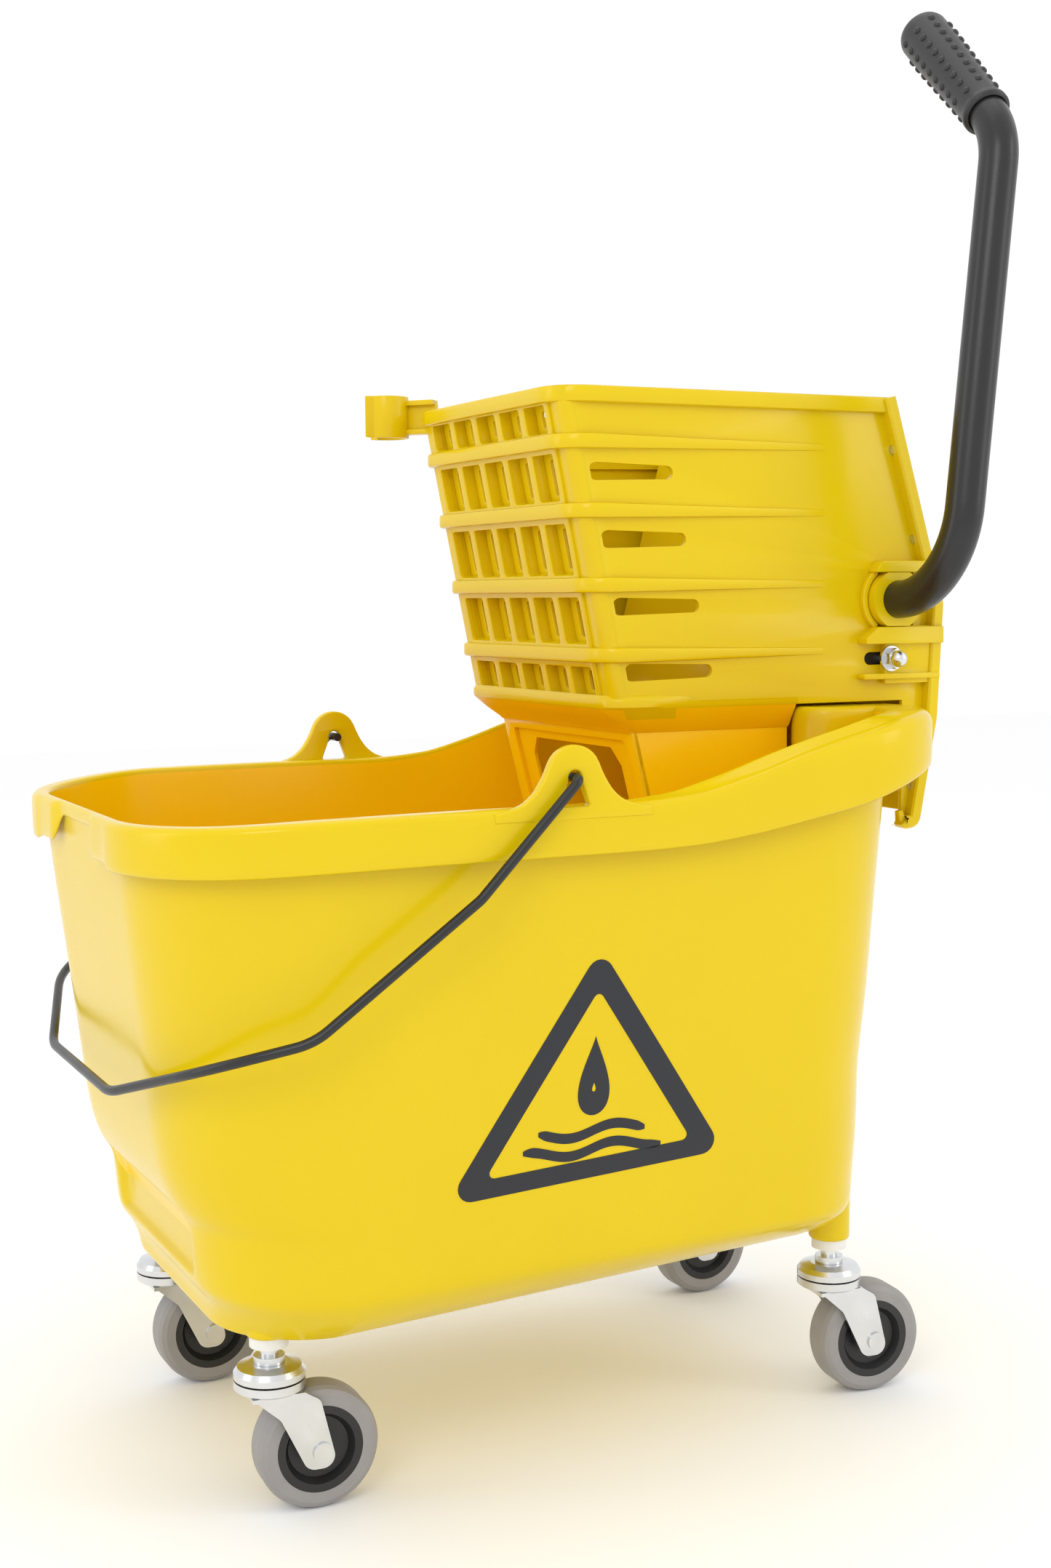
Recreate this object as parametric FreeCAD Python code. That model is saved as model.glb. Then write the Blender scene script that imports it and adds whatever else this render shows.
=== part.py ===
"""Mop bucket on four casters, with a lift-off side-press wringer.

Units are millimetres. The model is drawn with X = 0 at the front caster stems, +X toward the
wringer end, Y = 0 on the middle plane and Z = 0 on the floor. When a node is written it is moved
along X, so that the origin ends up at the bottom centre of the whole object.
"""
import FreeCAD, Part
import math
import os

V = FreeCAD.Vector

# ---------------------------------------------------------------- driving dimensions
centre_x = 209.65

wheel_r = 38.1              # three inch caster wheel
wheel_half_width = 12.1
hub_r = 27.0
trail = 27.8                # wheel axle behind the swivel axis
wheelbase = 405.6
half_track = 110.7
post_bottom_z = 110.85
post_r = 14.0

wall = 4.0                  # moulded walls
rim_half_width = 203.0
lug_x = 163.0               # bail pivot
lug_z = 447.6
lug_outer_y = 203.4
bail_r = 3.0
bail_leg_y = 210.0

wringer_half = 110.0        # outside of the wringer's cheeks
wringer_top_z = 684.5
wringer_ledge_z = 479.0
front_top_x = 203.0
front_low_x = 244.0

shaft_x = 452.0             # lever shaft axis
shaft_z = 549.0
tube_r = 12.7               # one inch lever tube
tube_wall = 1.8
lever_lean = math.radians(6.0)
lever_y = -182.5
lever_bend_r = 61.0
grip_bend = math.radians(48.3)
grip_len = 110.0

crank_len = 55.0
crank_rest = math.radians(-20.0)     # from straight down, positive toward the front
crank_swing = math.radians(80.0)
press_travel = crank_len * (math.sin(crank_rest + crank_swing) - math.sin(crank_rest))
roller_r = 6.0
guide_x = 449.0             # guide bolt
guide_z = 509.0


# ---------------------------------------------------------------- helpers
def box(x0, x1, y0, y1, z0, z1):
    return Part.makeBox(x1 - x0, y1 - y0, z1 - z0, V(x0, y0, z0))


def cyl(centre, axis, r, length):
    return Part.makeCylinder(r, length, V(*centre), V(*axis))


def ring(centre, axis, r_out, r_in, length):
    return cyl(centre, axis, r_out, length).cut(cyl(centre, axis, r_in, length))


def rounded(points, radii):
    """Closed outline through points, with a tangent arc of the given radius at each one."""
    n = len(points)
    starts, mids, ends = [], [], []
    for i in range(n):
        before = V(*points[i - 1])
        here = V(*points[i])
        after = V(*points[(i + 1) % n])
        a = (before - here).normalize()
        b = (after - here).normalize()
        half = a.getAngle(b) / 2
        r = radii[i]
        cut = r / math.tan(half)
        centre = here + (a + b).normalize() * (r / math.sin(half))
        starts.append(here + a * cut)
        ends.append(here + b * cut)
        mids.append(centre + (here - centre).normalize() * r if r > 0 else here)
    edges = []
    for i in range(n):
        if radii[i] > 0:
            edges.append(Part.Arc(starts[i], mids[i], ends[i]).toShape())
        edges.append(Part.LineSegment(ends[i], starts[(i + 1) % n]).toShape())
    return Part.Wire(edges)


def side_prism(points, y0, y1, radii=None):
    """Solid whose outline lies in the XZ plane and which runs from y0 to y1."""
    corners = [(x, y0, z) for x, z in points]
    if radii is None:
        wire = Part.makePolygon([V(*p) for p in corners + corners[:1]])
    else:
        wire = rounded(corners, radii)
    return Part.Face(wire).extrude(V(0, y1 - y0, 0))


def both_sides(make):
    """Fuse of make(-1) for the near side and make(+1) for the far side."""
    return make(-1).fuse(make(1))


def mirror_y(shape):
    return shape.mirror(V(0, 0, 0), V(0, 1, 0))


def fuse_all(shapes):
    out = shapes[0].multiFuse(shapes[1:]) if len(shapes) > 1 else shapes[0]
    return out.removeSplitter()


def rod(points, r, bend):
    """Round rod along straight runs joined by tangent arcs of radius bend."""
    pts = [V(*p) for p in points]
    edges = []
    last = pts[0]
    for i in range(1, len(pts) - 1):
        a = (pts[i - 1] - pts[i]).normalize()
        b = (pts[i + 1] - pts[i]).normalize()
        half = a.getAngle(b) / 2
        radius = bend[i - 1] if isinstance(bend, (list, tuple)) else bend
        cut = radius / math.tan(half)
        centre = pts[i] + (a + b).normalize() * (radius / math.sin(half))
        start = pts[i] + a * cut
        end = pts[i] + b * cut
        mid = centre + (pts[i] - centre).normalize() * radius
        edges.append(Part.LineSegment(last, start).toShape())
        edges.append(Part.Arc(start, mid, end).toShape())
        last = end
    edges.append(Part.LineSegment(last, pts[-1]).toShape())
    path = Part.Wire(edges)
    circle = Part.Wire(Part.Circle(pts[0], pts[1] - pts[0], r).toShape())
    return path.makePipeShell([circle], True, True)


# ---------------------------------------------------------------- bucket
def outline(z, front, rear, half_front, half_rear, r_front, r_rear, inset=0.0):
    f = front + inset
    b = rear - inset
    wf = half_front - inset
    wr = half_rear - inset
    corners = [(f, -wf, z), (b, -wr, z), (b, wr, z), (f, wf, z)]
    return rounded(corners, [r_front - inset, r_rear - inset, r_rear - inset, r_front - inset])


# z, front x, rear x, half width at the front and the rear, corner radii at the front and the rear
body_levels = [
    (111.0, -25.5, 414.0, 142.5, 97.0, 70.0, 36.0),
    (125.0, -27.5, 418.0, 158.0, 128.0, 82.0, 52.0),
    (143.0, -37.5, 420.0, 167.4, 158.5, 94.0, 66.0),
    (177.0, -42.0, 421.5, 171.0, 164.0, 97.0, 69.0),
    (212.0, -56.5, 421.2, 174.0, 168.0, 98.0, 70.0),
    (250.0, -61.8, 421.0, 177.0, 172.0, 99.0, 71.0),
    (400.0, -78.5, 426.8, 189.0, 187.0, 104.0, 74.0),
    (486.0, -86.6, 430.2, 195.4, 194.5, 106.0, 75.0),
]


def body_loft(inset, low_z):
    wires = []
    for level in body_levels:
        z = low_z if level is body_levels[0] else level[0]
        wires.append(outline(z, *level[1:], inset=inset))
    return Part.makeLoft(wires, True, True)


def rim_curve(offsets):
    """Height of the rim along the bucket, as a smooth curve through (x, z) points."""
    spline = Part.BSplineCurve()
    spline.interpolate([V(x, -260, z) for x, z in offsets])
    return spline


rim_top = [(-130, 423), (-60, 426.5), (20, 430.5), (120, 431), (200, 431), (245, 434), (285, 443),
           (328, 456), (370, 467), (412, 475.5), (445, 478), (480, 478)]
rim_low = [(-130, 394), (-60, 397), (20, 400.5), (120, 401), (200, 401), (242, 402), (284, 406),
           (328, 413), (370, 421), (404, 431), (440, 440), (480, 444)]


def under_curve(points, floor_z):
    """Everything below a curve along the bucket, down to floor_z."""
    spline = rim_curve(points)
    start = V(points[0][0], -260, points[0][1])
    end = V(points[-1][0], -260, points[-1][1])
    low_end = V(end.x, -260, floor_z)
    low_start = V(start.x, -260, floor_z)
    edges = [spline.toShape(),
             Part.LineSegment(end, low_end).toShape(),
             Part.LineSegment(low_end, low_start).toShape(),
             Part.LineSegment(low_start, start).toShape()]
    return Part.Face(Part.Wire(edges)).extrude(V(0, 520, 0))


rim_plan = (-87.0, 462.0, rim_half_width, rim_half_width - 1, 112.0, 84.0)
saddle_half = 58.0
saddle_z = 462.0


def bucket_shell():
    below_rim = under_curve(rim_top, 90)
    cavity = body_loft(wall, body_levels[0][0] + 5)
    shell = body_loft(0.0, body_levels[0][0]).common(below_rim)

    band_wire = outline(380, *rim_plan)
    band = Part.Face(band_wire).extrude(V(0, 0, 120)).common(below_rim)
    band = band.cut(under_curve(rim_low, 300))
    inner_wire = outline(380, *rim_plan, inset=3.2)
    under_lip = [(x, z - 4.5) for x, z in rim_top]
    hollow = Part.Face(inner_wire).extrude(V(0, 0, 120)).common(under_curve(under_lip, 300))
    band = band.cut(hollow.cut(body_loft(0.0, body_levels[0][0])))
    spout_gap = box(-140, -40, -139, 139, 380, 500)
    band = band.cut(spout_gap)

    posts = []
    for x in (0.0, wheelbase):
        for y in (-half_track, half_track):
            posts.append(cyl((x, y, post_bottom_z), (0, 0, 1), post_r, 58))

    lug = [(118, 424), (146, 467), (180, 467), (208, 424)]
    lugs = both_sides(lambda s: side_prism(lug, s * lug_outer_y, s * 196.4, [4, 19, 19, 4]))
    lug_feet = both_sides(lambda s: side_prism([(96, 408), (118, 436), (208, 436), (230, 408)],
                                               s * lug_outer_y, s * 192.4, [4, 12, 12, 4]))

    toe_back = box(-45, -37, -88, 88, 146, 192)
    inside_bosses = [cyl((x, y, 115), (0, 0, 1), post_r, 54)
                     for x in (0.0, wheelbase) for y in (-half_track, half_track)]
    shell = shell.fuse(band).cut(cavity.common(box(-200, 500, -300, 300, 110, 600)))
    pocket_front = both_sides(lambda s: box(384, 388, min(s * 114, s * 176), max(s * 114, s * 176), 404, 470))
    pocket_side = both_sides(lambda s: box(384, 426, min(s * 114, s * 118), max(s * 114, s * 118), 404, 470))
    shell = fuse_all([shell, lugs, lug_feet, toe_back, pocket_front, pocket_side] + posts + inside_bosses)

    shell = shell.cut(box(-90, -41, -84, 84, 150, 188))
    shell = shell.cut(box(410, 480, -saddle_half, saddle_half, saddle_z, 500))
    for x in (0.0, wheelbase):
        for y in (-half_track, half_track):
            shell = shell.cut(cyl((x, y, post_bottom_z - 1), (0, 0, 1), 8.0, 47))
    for s in (-1, 1):
        shell = shell.cut(cyl((lug_x, s * 185, lug_z), (0, s, 0), bail_r + 0.08, 30))
    return shell


def bail_handle():
    half = [(lug_x, 190.0, lug_z), (lug_x, bail_leg_y, lug_z), (99, bail_leg_y, 381.5),
            (-1.5, 205.5, 308), (-53, 182.0, 294), (-84, 74.0, 261)]
    near = [(x, -y, z) for x, y, z in half]
    points = near + half[::-1]
    bends = [5, 25, 40, 80, 55, 55, 80, 40, 25, 5]
    return rod(points, bail_r, bends)


# ---------------------------------------------------------------- casters
race_z = 88.2
leg_gap = 14.4
leg_thick = 2.5
ball_ring = 14.0
ball_r = 2.4


def caster_socket():
    barrel = ring((0, 0, post_bottom_z), (0, 0, 1), 7.9, 5.7, 40)
    flange = ring((0, 0, post_bottom_z - 6.8), (0, 0, 1), 11.9, 5.7, 6.8)
    return barrel.fuse(flange).removeSplitter()


def caster_stem():
    pin = cyl((0, 0, 74), (0, 0, 1), 5.5, 76)
    collar = cyl((0, 0, 93.5), (0, 0, 1), 9.5, 4.5)
    tip = Part.makeCone(5.5, 4.0, 2, V(0, 0, 150))
    head = cyl((0, 0, 73.0), (0, 0, 1), 8.5, 2.5)
    return fuse_all([pin, collar, tip, head])


def revolve(profile):
    """Turn an (r, z) profile about the Z axis."""
    points = [V(r, 0, z) for r, z in profile]
    return Part.Face(Part.makePolygon(points + points[:1])).revolve(V(0, 0, 0), V(0, 0, 1), 360)


def raceway_cap():
    return revolve([(5.55, 93.4), (5.55, 89.6), (10.5, 89.6), (12.0, 87.4), (17.0, 87.4), (19.0, 84.8),
                    (21.8, 84.8), (21.8, 88.6), (19.6, 91.6), (13.0, 93.4)])


def bearing_balls():
    balls = []
    for i in range(10):
        a = 2 * math.pi * i / 10
        balls.append(Part.makeSphere(ball_r, V(ball_ring * math.cos(a), ball_ring * math.sin(a), 84.7)))
    return Part.makeCompound(balls)


def caster_fork():
    race = revolve([(5.57, 77.0), (19.6, 77.0), (21.8, 78.6), (21.8, 83.6), (19.4, 83.6), (18.0, 81.9),
                    (10.0, 81.9), (8.6, 83.6), (5.57, 83.6)])
    hood = side_prism([(-15, 74.6), (-15, 77.2), (17.5, 77.2), (13, 75.0)],
                      -leg_gap - leg_thick, leg_gap + leg_thick)
    hood = hood.cut(cyl((0, 0, 70), (0, 0, 1), 9.0, 7.0)).cut(cyl((0, 0, 70), (0, 0, 1), 5.57, 12))
    leg = [(-15, 77.2), (17, 77.2), (27, 71), (trail + 9.5, 28.0), (trail - 9.5, 28.0), (2, 62)]

    def one_leg(s):
        return side_prism(leg, s * leg_gap, s * (leg_gap + leg_thick), [1, 3, 6, 7.5, 8.5, 9])

    fork = fuse_all([race, hood, one_leg(-1), one_leg(1)])
    return fork.cut(cyl((trail, -30, wheel_r), (0, 1, 0), 4.05, 60))


def wheel_hub():
    hub = cyl((trail, -11.9, wheel_r), (0, 1, 0), hub_r, 23.8)
    for s in (-1, 1):
        dish = Part.makeCone(22.0, 19.0, 5.0, V(trail, s * 11.9, wheel_r), V(0, -s, 0))
        boss = cyl((trail, s * 6.0, wheel_r), (0, s, 0), 8.0, 7.6)
        hub = hub.cut(dish).fuse(boss)
    return hub.cut(cyl((trail, -20, wheel_r), (0, 1, 0), 4.02, 40)).removeSplitter()


def tyre():
    h = wheel_half_width
    profile = [(hub_r, -h), (hub_r + 6.5, -h), (hub_r + 9.6, -h + 1.6), (wheel_r, -h + 5.0),
               (wheel_r, h - 5.0), (hub_r + 9.6, h - 1.6), (hub_r + 6.5, h), (hub_r, h)]
    points = [V(trail, y, wheel_r + r) for r, y in profile]
    face = Part.Face(Part.makePolygon(points + points[:1]))
    return face.revolve(V(trail, 0, wheel_r), V(0, 1, 0), 360)


def axle_rivet():
    pin = cyl((trail, -18.2, wheel_r), (0, 1, 0), 3.97, 36.4)
    heads = both_sides(lambda s: cyl((trail, s * 16.95, wheel_r), (0, s, 0), 6.2, 1.6))
    return pin.fuse(heads).removeSplitter()


caster_pieces = {
    "caster_socket": caster_socket,
    "caster_stem": caster_stem,
    "raceway_cap": raceway_cap,
    "bearing_balls": bearing_balls,
    "caster_fork": caster_fork,
    "wheel_hub": wheel_hub,
    "tyre": tyre,
    "axle_rivet": axle_rivet,
}
caster_places = {
    "front_near": (0.0, -half_track, -3.0),
    "front_far": (0.0, half_track, 0.6),
    "rear_near": (wheelbase, -half_track, -4.6),
    "rear_far": (wheelbase, half_track, 2.0),
}


# ---------------------------------------------------------------- wringer
face_run = (front_low_x - front_top_x) / (wringer_top_z - wringer_ledge_z)
rear_line = [(452.0, wringer_top_z), (492.5, 546.0), (488.0, 468.0), (474.5, 402.0)]
hook_x = 463.5
floor_z = 480.0
chimney_low_z = 352.0
chimney_half = 98.0
chimney_rear = 378.0
rib_rows = (651.0, 607.0, 560.0, 515.5)


def face_x(z):
    """Outside of the inclined front wall at height z."""
    return front_top_x + face_run * (wringer_top_z - z)


def cheek_points():
    return [(face_x(wringer_top_z), wringer_top_z), rear_line[0], rear_line[1], rear_line[2], rear_line[3],
            (hook_x, 396.0), (hook_x, floor_z), (chimney_rear, floor_z), (front_low_x, wringer_ledge_z)]


def front_window(row, column):
    """One window of the grid in the front wall, as a cutting block."""
    tops = (676.0, 644.0, 600.0, 553.0, 508.0)
    lows = (656.0, 613.5, 566.5, 522.0, 486.0)
    pitch = 38.4
    y = (column - 2) * pitch
    x0 = face_x(tops[row]) - 14
    x1 = face_x(lows[row]) + 12
    return box(x0, x1, y - 13.6, y + 13.6, lows[row], tops[row])


def wringer_body():
    cheek_radii = [0, 3, 16, 30, 9, 5, 0, 0, 0]

    def cheek(s):
        plate = side_prism(cheek_points(), s * wringer_half, s * (wringer_half - wall), cheek_radii)
        for i, (z, left) in enumerate(zip((630.5, 588.0, 544.0, 504.0), (218.5, 227.5, 236.5, 246.0))):
            slot = side_prism([(left, z - 5.6), (left + 64, z - 5.6), (left + 64, z + 5.6), (left, z + 5.6)],
                              s * 120, s * 90, [5.5] * 4)
            plate = plate.cut(slot)
        return plate

    front = side_prism([(face_x(wringer_top_z), wringer_top_z), (face_x(wringer_top_z) + 4.2, wringer_top_z),
                        (front_low_x + 4.2, wringer_ledge_z), (front_low_x, wringer_ledge_z)],
                       -wringer_half, wringer_half)
    for row in range(5):
        for column in range(5):
            front = front.cut(front_window(row, column))
    solids = [cheek(-1), cheek(1), front]

    top_rim = both_sides(lambda s: box(face_x(wringer_top_z) - 5, 452, min(s * 106, s * 115),
                                       max(s * 106, s * 115), wringer_top_z - 10, wringer_top_z))
    solids.append(top_rim)
    solids.append(box(face_x(wringer_top_z) - 5, face_x(wringer_top_z) + 5, -115, 115,
                      wringer_top_z - 10, wringer_top_z))

    for z in rib_rows:
        x0 = face_x(z) - 8
        solids.append(box(x0, face_x(z) + 2, -115, 115, z - 4, z + 4))
        for s in (-1, 1):
            solids.append(side_prism([(x0, z - 4), (395, z - 2.5), (395, z + 2.5), (x0, z + 4)],
                                     s * 115, s * 108))

    ledge = side_prism([(front_low_x - 4, wringer_ledge_z + 5), (front_low_x - 4, wringer_ledge_z - 1),
                        (258, 466), (chimney_rear, 466), (chimney_rear, wringer_ledge_z + 5)], -wringer_half,
                       wringer_half)
    ledge = ledge.cut(box(262, chimney_rear - wall, -chimney_half + wall, chimney_half - wall, 460, 490))
    solids.append(ledge)

    chimney = side_prism([(258, 470), (272 + 14, chimney_low_z), (chimney_rear, chimney_low_z),
                          (chimney_rear, 470)], -chimney_half, chimney_half)
    hollow = side_prism([(262, 471), (276 + 14, chimney_low_z + 5), (chimney_rear - wall, chimney_low_z + 5),
                         (chimney_rear - wall, 471)], -chimney_half + wall, chimney_half - wall)
    chimney = chimney.cut(hollow)
    for i in range(5):
        for j in range(3):
            chimney = chimney.cut(box(300 + j * 25, 316 + j * 25, -78 + i * 34, -58 + i * 34,
                                      chimney_low_z - 5, chimney_low_z + 10))
    window = box(240, 300, -62, 62, 402, 452)
    chimney = chimney.cut(window)
    solids.append(chimney)

    rear_floor = box(chimney_rear - wall, 488.0, -wringer_half + 2, wringer_half - 2, floor_z, floor_z + wall)
    rear_floor = rear_floor.cut(box(481.8, 500, -120, 120, 474, 600))
    rear_floor = rear_floor.cut(box(384, 486, -84, 84, floor_z - 2, floor_z + wall + 2))
    solids.append(rear_floor)
    rests = both_sides(lambda s: box(384, hook_x + 3, min(s * 40, s * 54), max(s * 40, s * 54),
                                     saddle_z, floor_z + wall))
    solids.append(rests)
    solids.append(box(chimney_rear - wall, chimney_rear, -wringer_half + 2, wringer_half - 2, 466, floor_z + wall))
    cross = box(384, hook_x + 3, -54, 54, saddle_z + 4, saddle_z + 8)
    solids.append(cross)
    solids.append(box(chimney_rear - wall, 385, -54, 54, saddle_z + 4, floor_z + wall))

    def boss(s):
        y_out = s * 121.0
        block = side_prism([(430, 576), (489, 576), (489, 490), (440, 490), (424, 520), (424, 566)],
                           y_out, s * 108, [8, 4, 4, 10, 10, 8])
        channel = side_prism([(420, 499.6), (500, 499.6), (500, 518.4), (420, 518.4)], s * 130, s * 116)
        return block.cut(channel)

    solids.append(boss(-1))
    solids.append(boss(1))
    flange = both_sides(lambda s: rear_flange(s))
    solids.append(flange)
    body = fuse_all(solids)

    for s in (-1, 1):
        seat = cyl((shaft_x, s * 95, shaft_z), (0, s, 0), 20.4, 40)
        way_in = box(shaft_x, 512, min(s * 95, s * 135), max(s * 95, s * 135), shaft_z - 20.4, shaft_z + 20.4)
        slot = seat.fuse(way_in).common(box(400, 520, -200, 200, shaft_z - 18.2, shaft_z + 18.2))
        body = body.cut(slot)
        bolt_slot = side_prism([(432, guide_z - 4.3), (456, guide_z - 4.3), (456, guide_z + 4.3),
                                (432, guide_z + 4.3)], s * 130, s * 95, [4.2] * 4)
        body = body.cut(bolt_slot)
        for x, z in cover_screw_places():
            body = body.cut(cyl((x, s * 125, z), (0, -s, 0), 2.2, 29))
            body = body.cut(cyl((x, s * 125, z), (0, -s, 0), 4.4, 125 - wringer_half))
    return body


def rear_flange(s):
    """Lip that runs down the rear edge of a cheek and round its tail."""
    outer = side_prism(cheek_points(), s * 118, s * 108, [0, 3, 16, 30, 9, 5, 0, 0, 0])
    inset = [(190, 700), (443, 700), (443, 684.5), (483, 549), (479, 470), (467, 408), (460, 404),
             (460, 380), (190, 380)]
    inner = side_prism(inset, s * 130, s * 100)
    lip = outer.cut(inner)
    return lip.cut(box(180, 452, min(s * 100, s * 130), max(s * 100, s * 130), 684, 700))


def cover_screw_places():
    return [(454.0, 650.0), (472.0, 590.0), (471.5, 421.0)]


def rear_cover():
    """Curved rear panel between the cheeks, hooked down behind the bucket's rim."""
    y = wringer_half - wall - 0.4
    outer = [(451, wringer_top_z - 4), (490.8, 547), (486.5, 469), (472.5, 403), (468.4, 403),
             (482.4, 470), (486.3, 547.5), (446.5, wringer_top_z - 4)]
    shell = side_prism(outer, -y, y, [0.5, 12, 26, 1, 1, 22, 10, 0.5])
    tabs = []
    for x, z in cover_screw_places():
        for s in (-1, 1):
            tabs.append(cyl((x, s * y, z), (0, -s, 0), 6.0, 12))
    link = []
    for x, z in cover_screw_places():
        for s in (-1, 1):
            link.append(box(x, x + 12, min(s * y, s * (y - 4)), max(s * y, s * (y - 4)), z - 3, z + 3))
    trim = side_prism([(440, 700), (451, wringer_top_z - 4), (490.8, 547), (486.5, 469), (472.5, 403),
                       (464.5, 403), (464.5, 560), (430, 560), (430, 700)], -y, y)
    cover = fuse_all([shell] + tabs + link).common(trim)
    for x, z in cover_screw_places():
        for s in (-1, 1):
            cover = cover.cut(cyl((x, s * (y + 1), z), (0, -s, 0), 1.9, 12))
    return cover


def cover_screws():
    screws = []
    for x, z in cover_screw_places():
        for s in (-1, 1):
            head = cyl((x, s * wringer_half, z), (0, s, 0), 3.8, 2.4)
            shank = cyl((x, s * wringer_half, z), (0, -s, 0), 1.85, 14)
            screws.append(head.fuse(shank).removeSplitter())
    return Part.makeCompound(screws)


def lever_bush(s):
    disc = cyl((shaft_x, s * 103.5, shaft_z), (0, s, 0), 20.0, 17.5)
    disc = disc.common(box(400, 500, -200, 200, shaft_z - 18, shaft_z + 18))
    washer = cyl((shaft_x, s * 101.5, shaft_z), (0, s, 0), 23.0, 4.0)
    return disc.fuse(washer).cut(cyl((shaft_x, s * 90, shaft_z), (0, s, 0), tube_r + 0.06, 50)).removeSplitter()


# ---------------------------------------------------------------- lever and press
def on_lever(up, y):
    """Point at a distance up the leaning lever plane."""
    return (shaft_x + up * math.sin(lever_lean), y, shaft_z + up * math.cos(lever_lean))


corner_up = 301.0
grip_start = 21.0


def lever_points():
    reach = corner_up + (grip_start + grip_len - 6) * math.cos(grip_bend)
    inward = lever_y + (grip_start + grip_len - 6) * math.sin(grip_bend)
    return [on_lever(0, 123.0), on_lever(0, lever_y), on_lever(corner_up, lever_y), on_lever(reach, inward)]


def lever_tube():
    solid = rod(lever_points(), tube_r, [lever_bend_r, 46.0])
    bore = rod(lever_points(), tube_r - tube_wall, [lever_bend_r, 46.0])
    return solid.cut(bore)


def lever_grip():
    start_up = corner_up + grip_start * math.cos(grip_bend)
    start = V(*on_lever(start_up, lever_y + grip_start * math.sin(grip_bend)))
    end_up = corner_up + (grip_start + grip_len) * math.cos(grip_bend)
    end = V(*on_lever(end_up, lever_y + (grip_start + grip_len) * math.sin(grip_bend)))
    axis = (end - start).normalize()
    body = Part.makeCone(14.6, 17.2, grip_len - 4, start, axis)
    nose = Part.makeCone(17.2, 13.5, 4, start + axis * (grip_len - 4), axis)
    bore = Part.makeCylinder(tube_r + 0.02, grip_len - 6, start, axis)
    return body.fuse(nose).removeSplitter().cut(bore)


def shaft_cap():
    head = cyl((shaft_x, 123.0, shaft_z), (0, 1, 0), 14.5, 4.0)
    plug = cyl((shaft_x, 111.0, shaft_z), (0, 1, 0), tube_r - tube_wall - 0.02, 12.4)
    return head.fuse(plug).removeSplitter()


def crank_pin_point(turn):
    a = crank_rest + turn
    return (shaft_x - crank_len * math.sin(a), shaft_z - crank_len * math.cos(a))


def crank_arm(s):
    x, z = crank_pin_point(0.0)
    y0 = s * 71.0
    hub = cyl((shaft_x, y0, shaft_z), (0, s, 0), 19.0, 6.0)
    eye = cyl((x, y0, z), (0, s, 0), 10.0, 6.0)
    along = V(x - shaft_x, 0, z - shaft_z).normalize()
    across = V(-along.z, 0, along.x)
    a = V(shaft_x, y0, shaft_z)
    b = V(x, y0, z)
    corners = [a + across * 17, b + across * 10, b - across * 10, a - across * 17]
    web = Part.Face(Part.makePolygon(corners + corners[:1])).extrude(V(0, s * 6.0, 0))
    arm = fuse_all([hub, eye, web])
    arm = arm.cut(cyl((shaft_x, s * 60, shaft_z), (0, s, 0), tube_r + 0.01, 30))
    return arm.cut(cyl((x, s * 60, z), (0, s, 0), 4.0, 30))


def crank_roller(s):
    x, z = crank_pin_point(0.0)
    return ring((x, s * 56.5, z), (0, s, 0), roller_r, 4.03, 13.0)


def crank_pin(s):
    x, z = crank_pin_point(0.0)
    pin = cyl((x, s * 54.0, z), (0, s, 0), 4.0, 25.0)
    head = cyl((x, s * 54.0, z), (0, -s, 0), 7.0, 3.0)
    return pin.fuse(head).removeSplitter()


def track_point(turn):
    """Where the crank pin sits in the press plate's frame after the lever has turned."""
    x, z = crank_pin_point(turn)
    return x + press_travel * turn / crank_swing, z


def press_track(s):
    """Steel bracket with the curved track that turns the crank's swing into an even push."""
    outline_xz = [(352, 489), (480, 486.5), (482, 532), (364, 532)]
    plate = side_prism(outline_xz, s * 60.0, s * 66.0, [0.5, 6, 10, 0.5])
    steps = 24
    centre_line = []
    for i in range(steps + 1):
        x, z = track_point(crank_swing * i / steps)
        centre_line.append(V(x, s * 50.0, z))
    path = Part.makePolygon(centre_line)
    track = path.makeOffset2D(roller_r + 0.5, 0, False, False)
    plate = plate.cut(Part.Face(track).extrude(V(0, s * 26, 0)))
    foot = side_prism([(353, 489), (364, 532), (360.95, 533), (349.4, 490)], s * 46.0, s * 80.0)
    return plate.fuse(foot).removeSplitter()


plate_half = 93.0


def press_plate():
    top_z = 676.0
    low_z = 484.0
    x_top = 394.0
    x_low = 342.5
    slab = side_prism([(x_top, top_z), (x_low, low_z), (x_low + 5, low_z - 1.0), (x_top + 5, top_z - 1.0)],
                      -plate_half, plate_half)
    slope = (x_top - x_low) / (top_z - low_z)
    solids = [slab]
    for z in (500.0, 548.0, 592.0, 636.0, 670.0):
        x = x_low + slope * (z - low_z) + 3
        for y0, y1 in ((-plate_half, -82.0), (-44.0, 44.0), (82.0, plate_half)):
            solids.append(box(x, x + 12, y0, y1, z - 1.5, z + 1.5))
        if z > 540:
            solids.append(box(x, x + 12, -plate_half, plate_half, z - 1.5, z + 1.5))
    for y in (-91.5, -30.0, 0.0, 30.0, 91.5):
        rib = side_prism([(x_low + 3, low_z), (x_top + 3, top_z), (x_top + 13, top_z - 2), (x_low + 13, low_z - 2)],
                         y - 1.5, y + 1.5)
        solids.append(rib)
    return fuse_all(solids)


arm_low = 500.0
arm_top = 516.0


def slide_arm(s):
    bar = box(352, 478, min(s * 95.5, s * 100.5), max(s * 95.5, s * 100.5), arm_low, arm_top)
    foot = box(352, 360, min(s * 93.0, s * 96), max(s * 93.0, s * 96), arm_low, arm_top)
    return bar.fuse(foot).removeSplitter()


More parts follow.
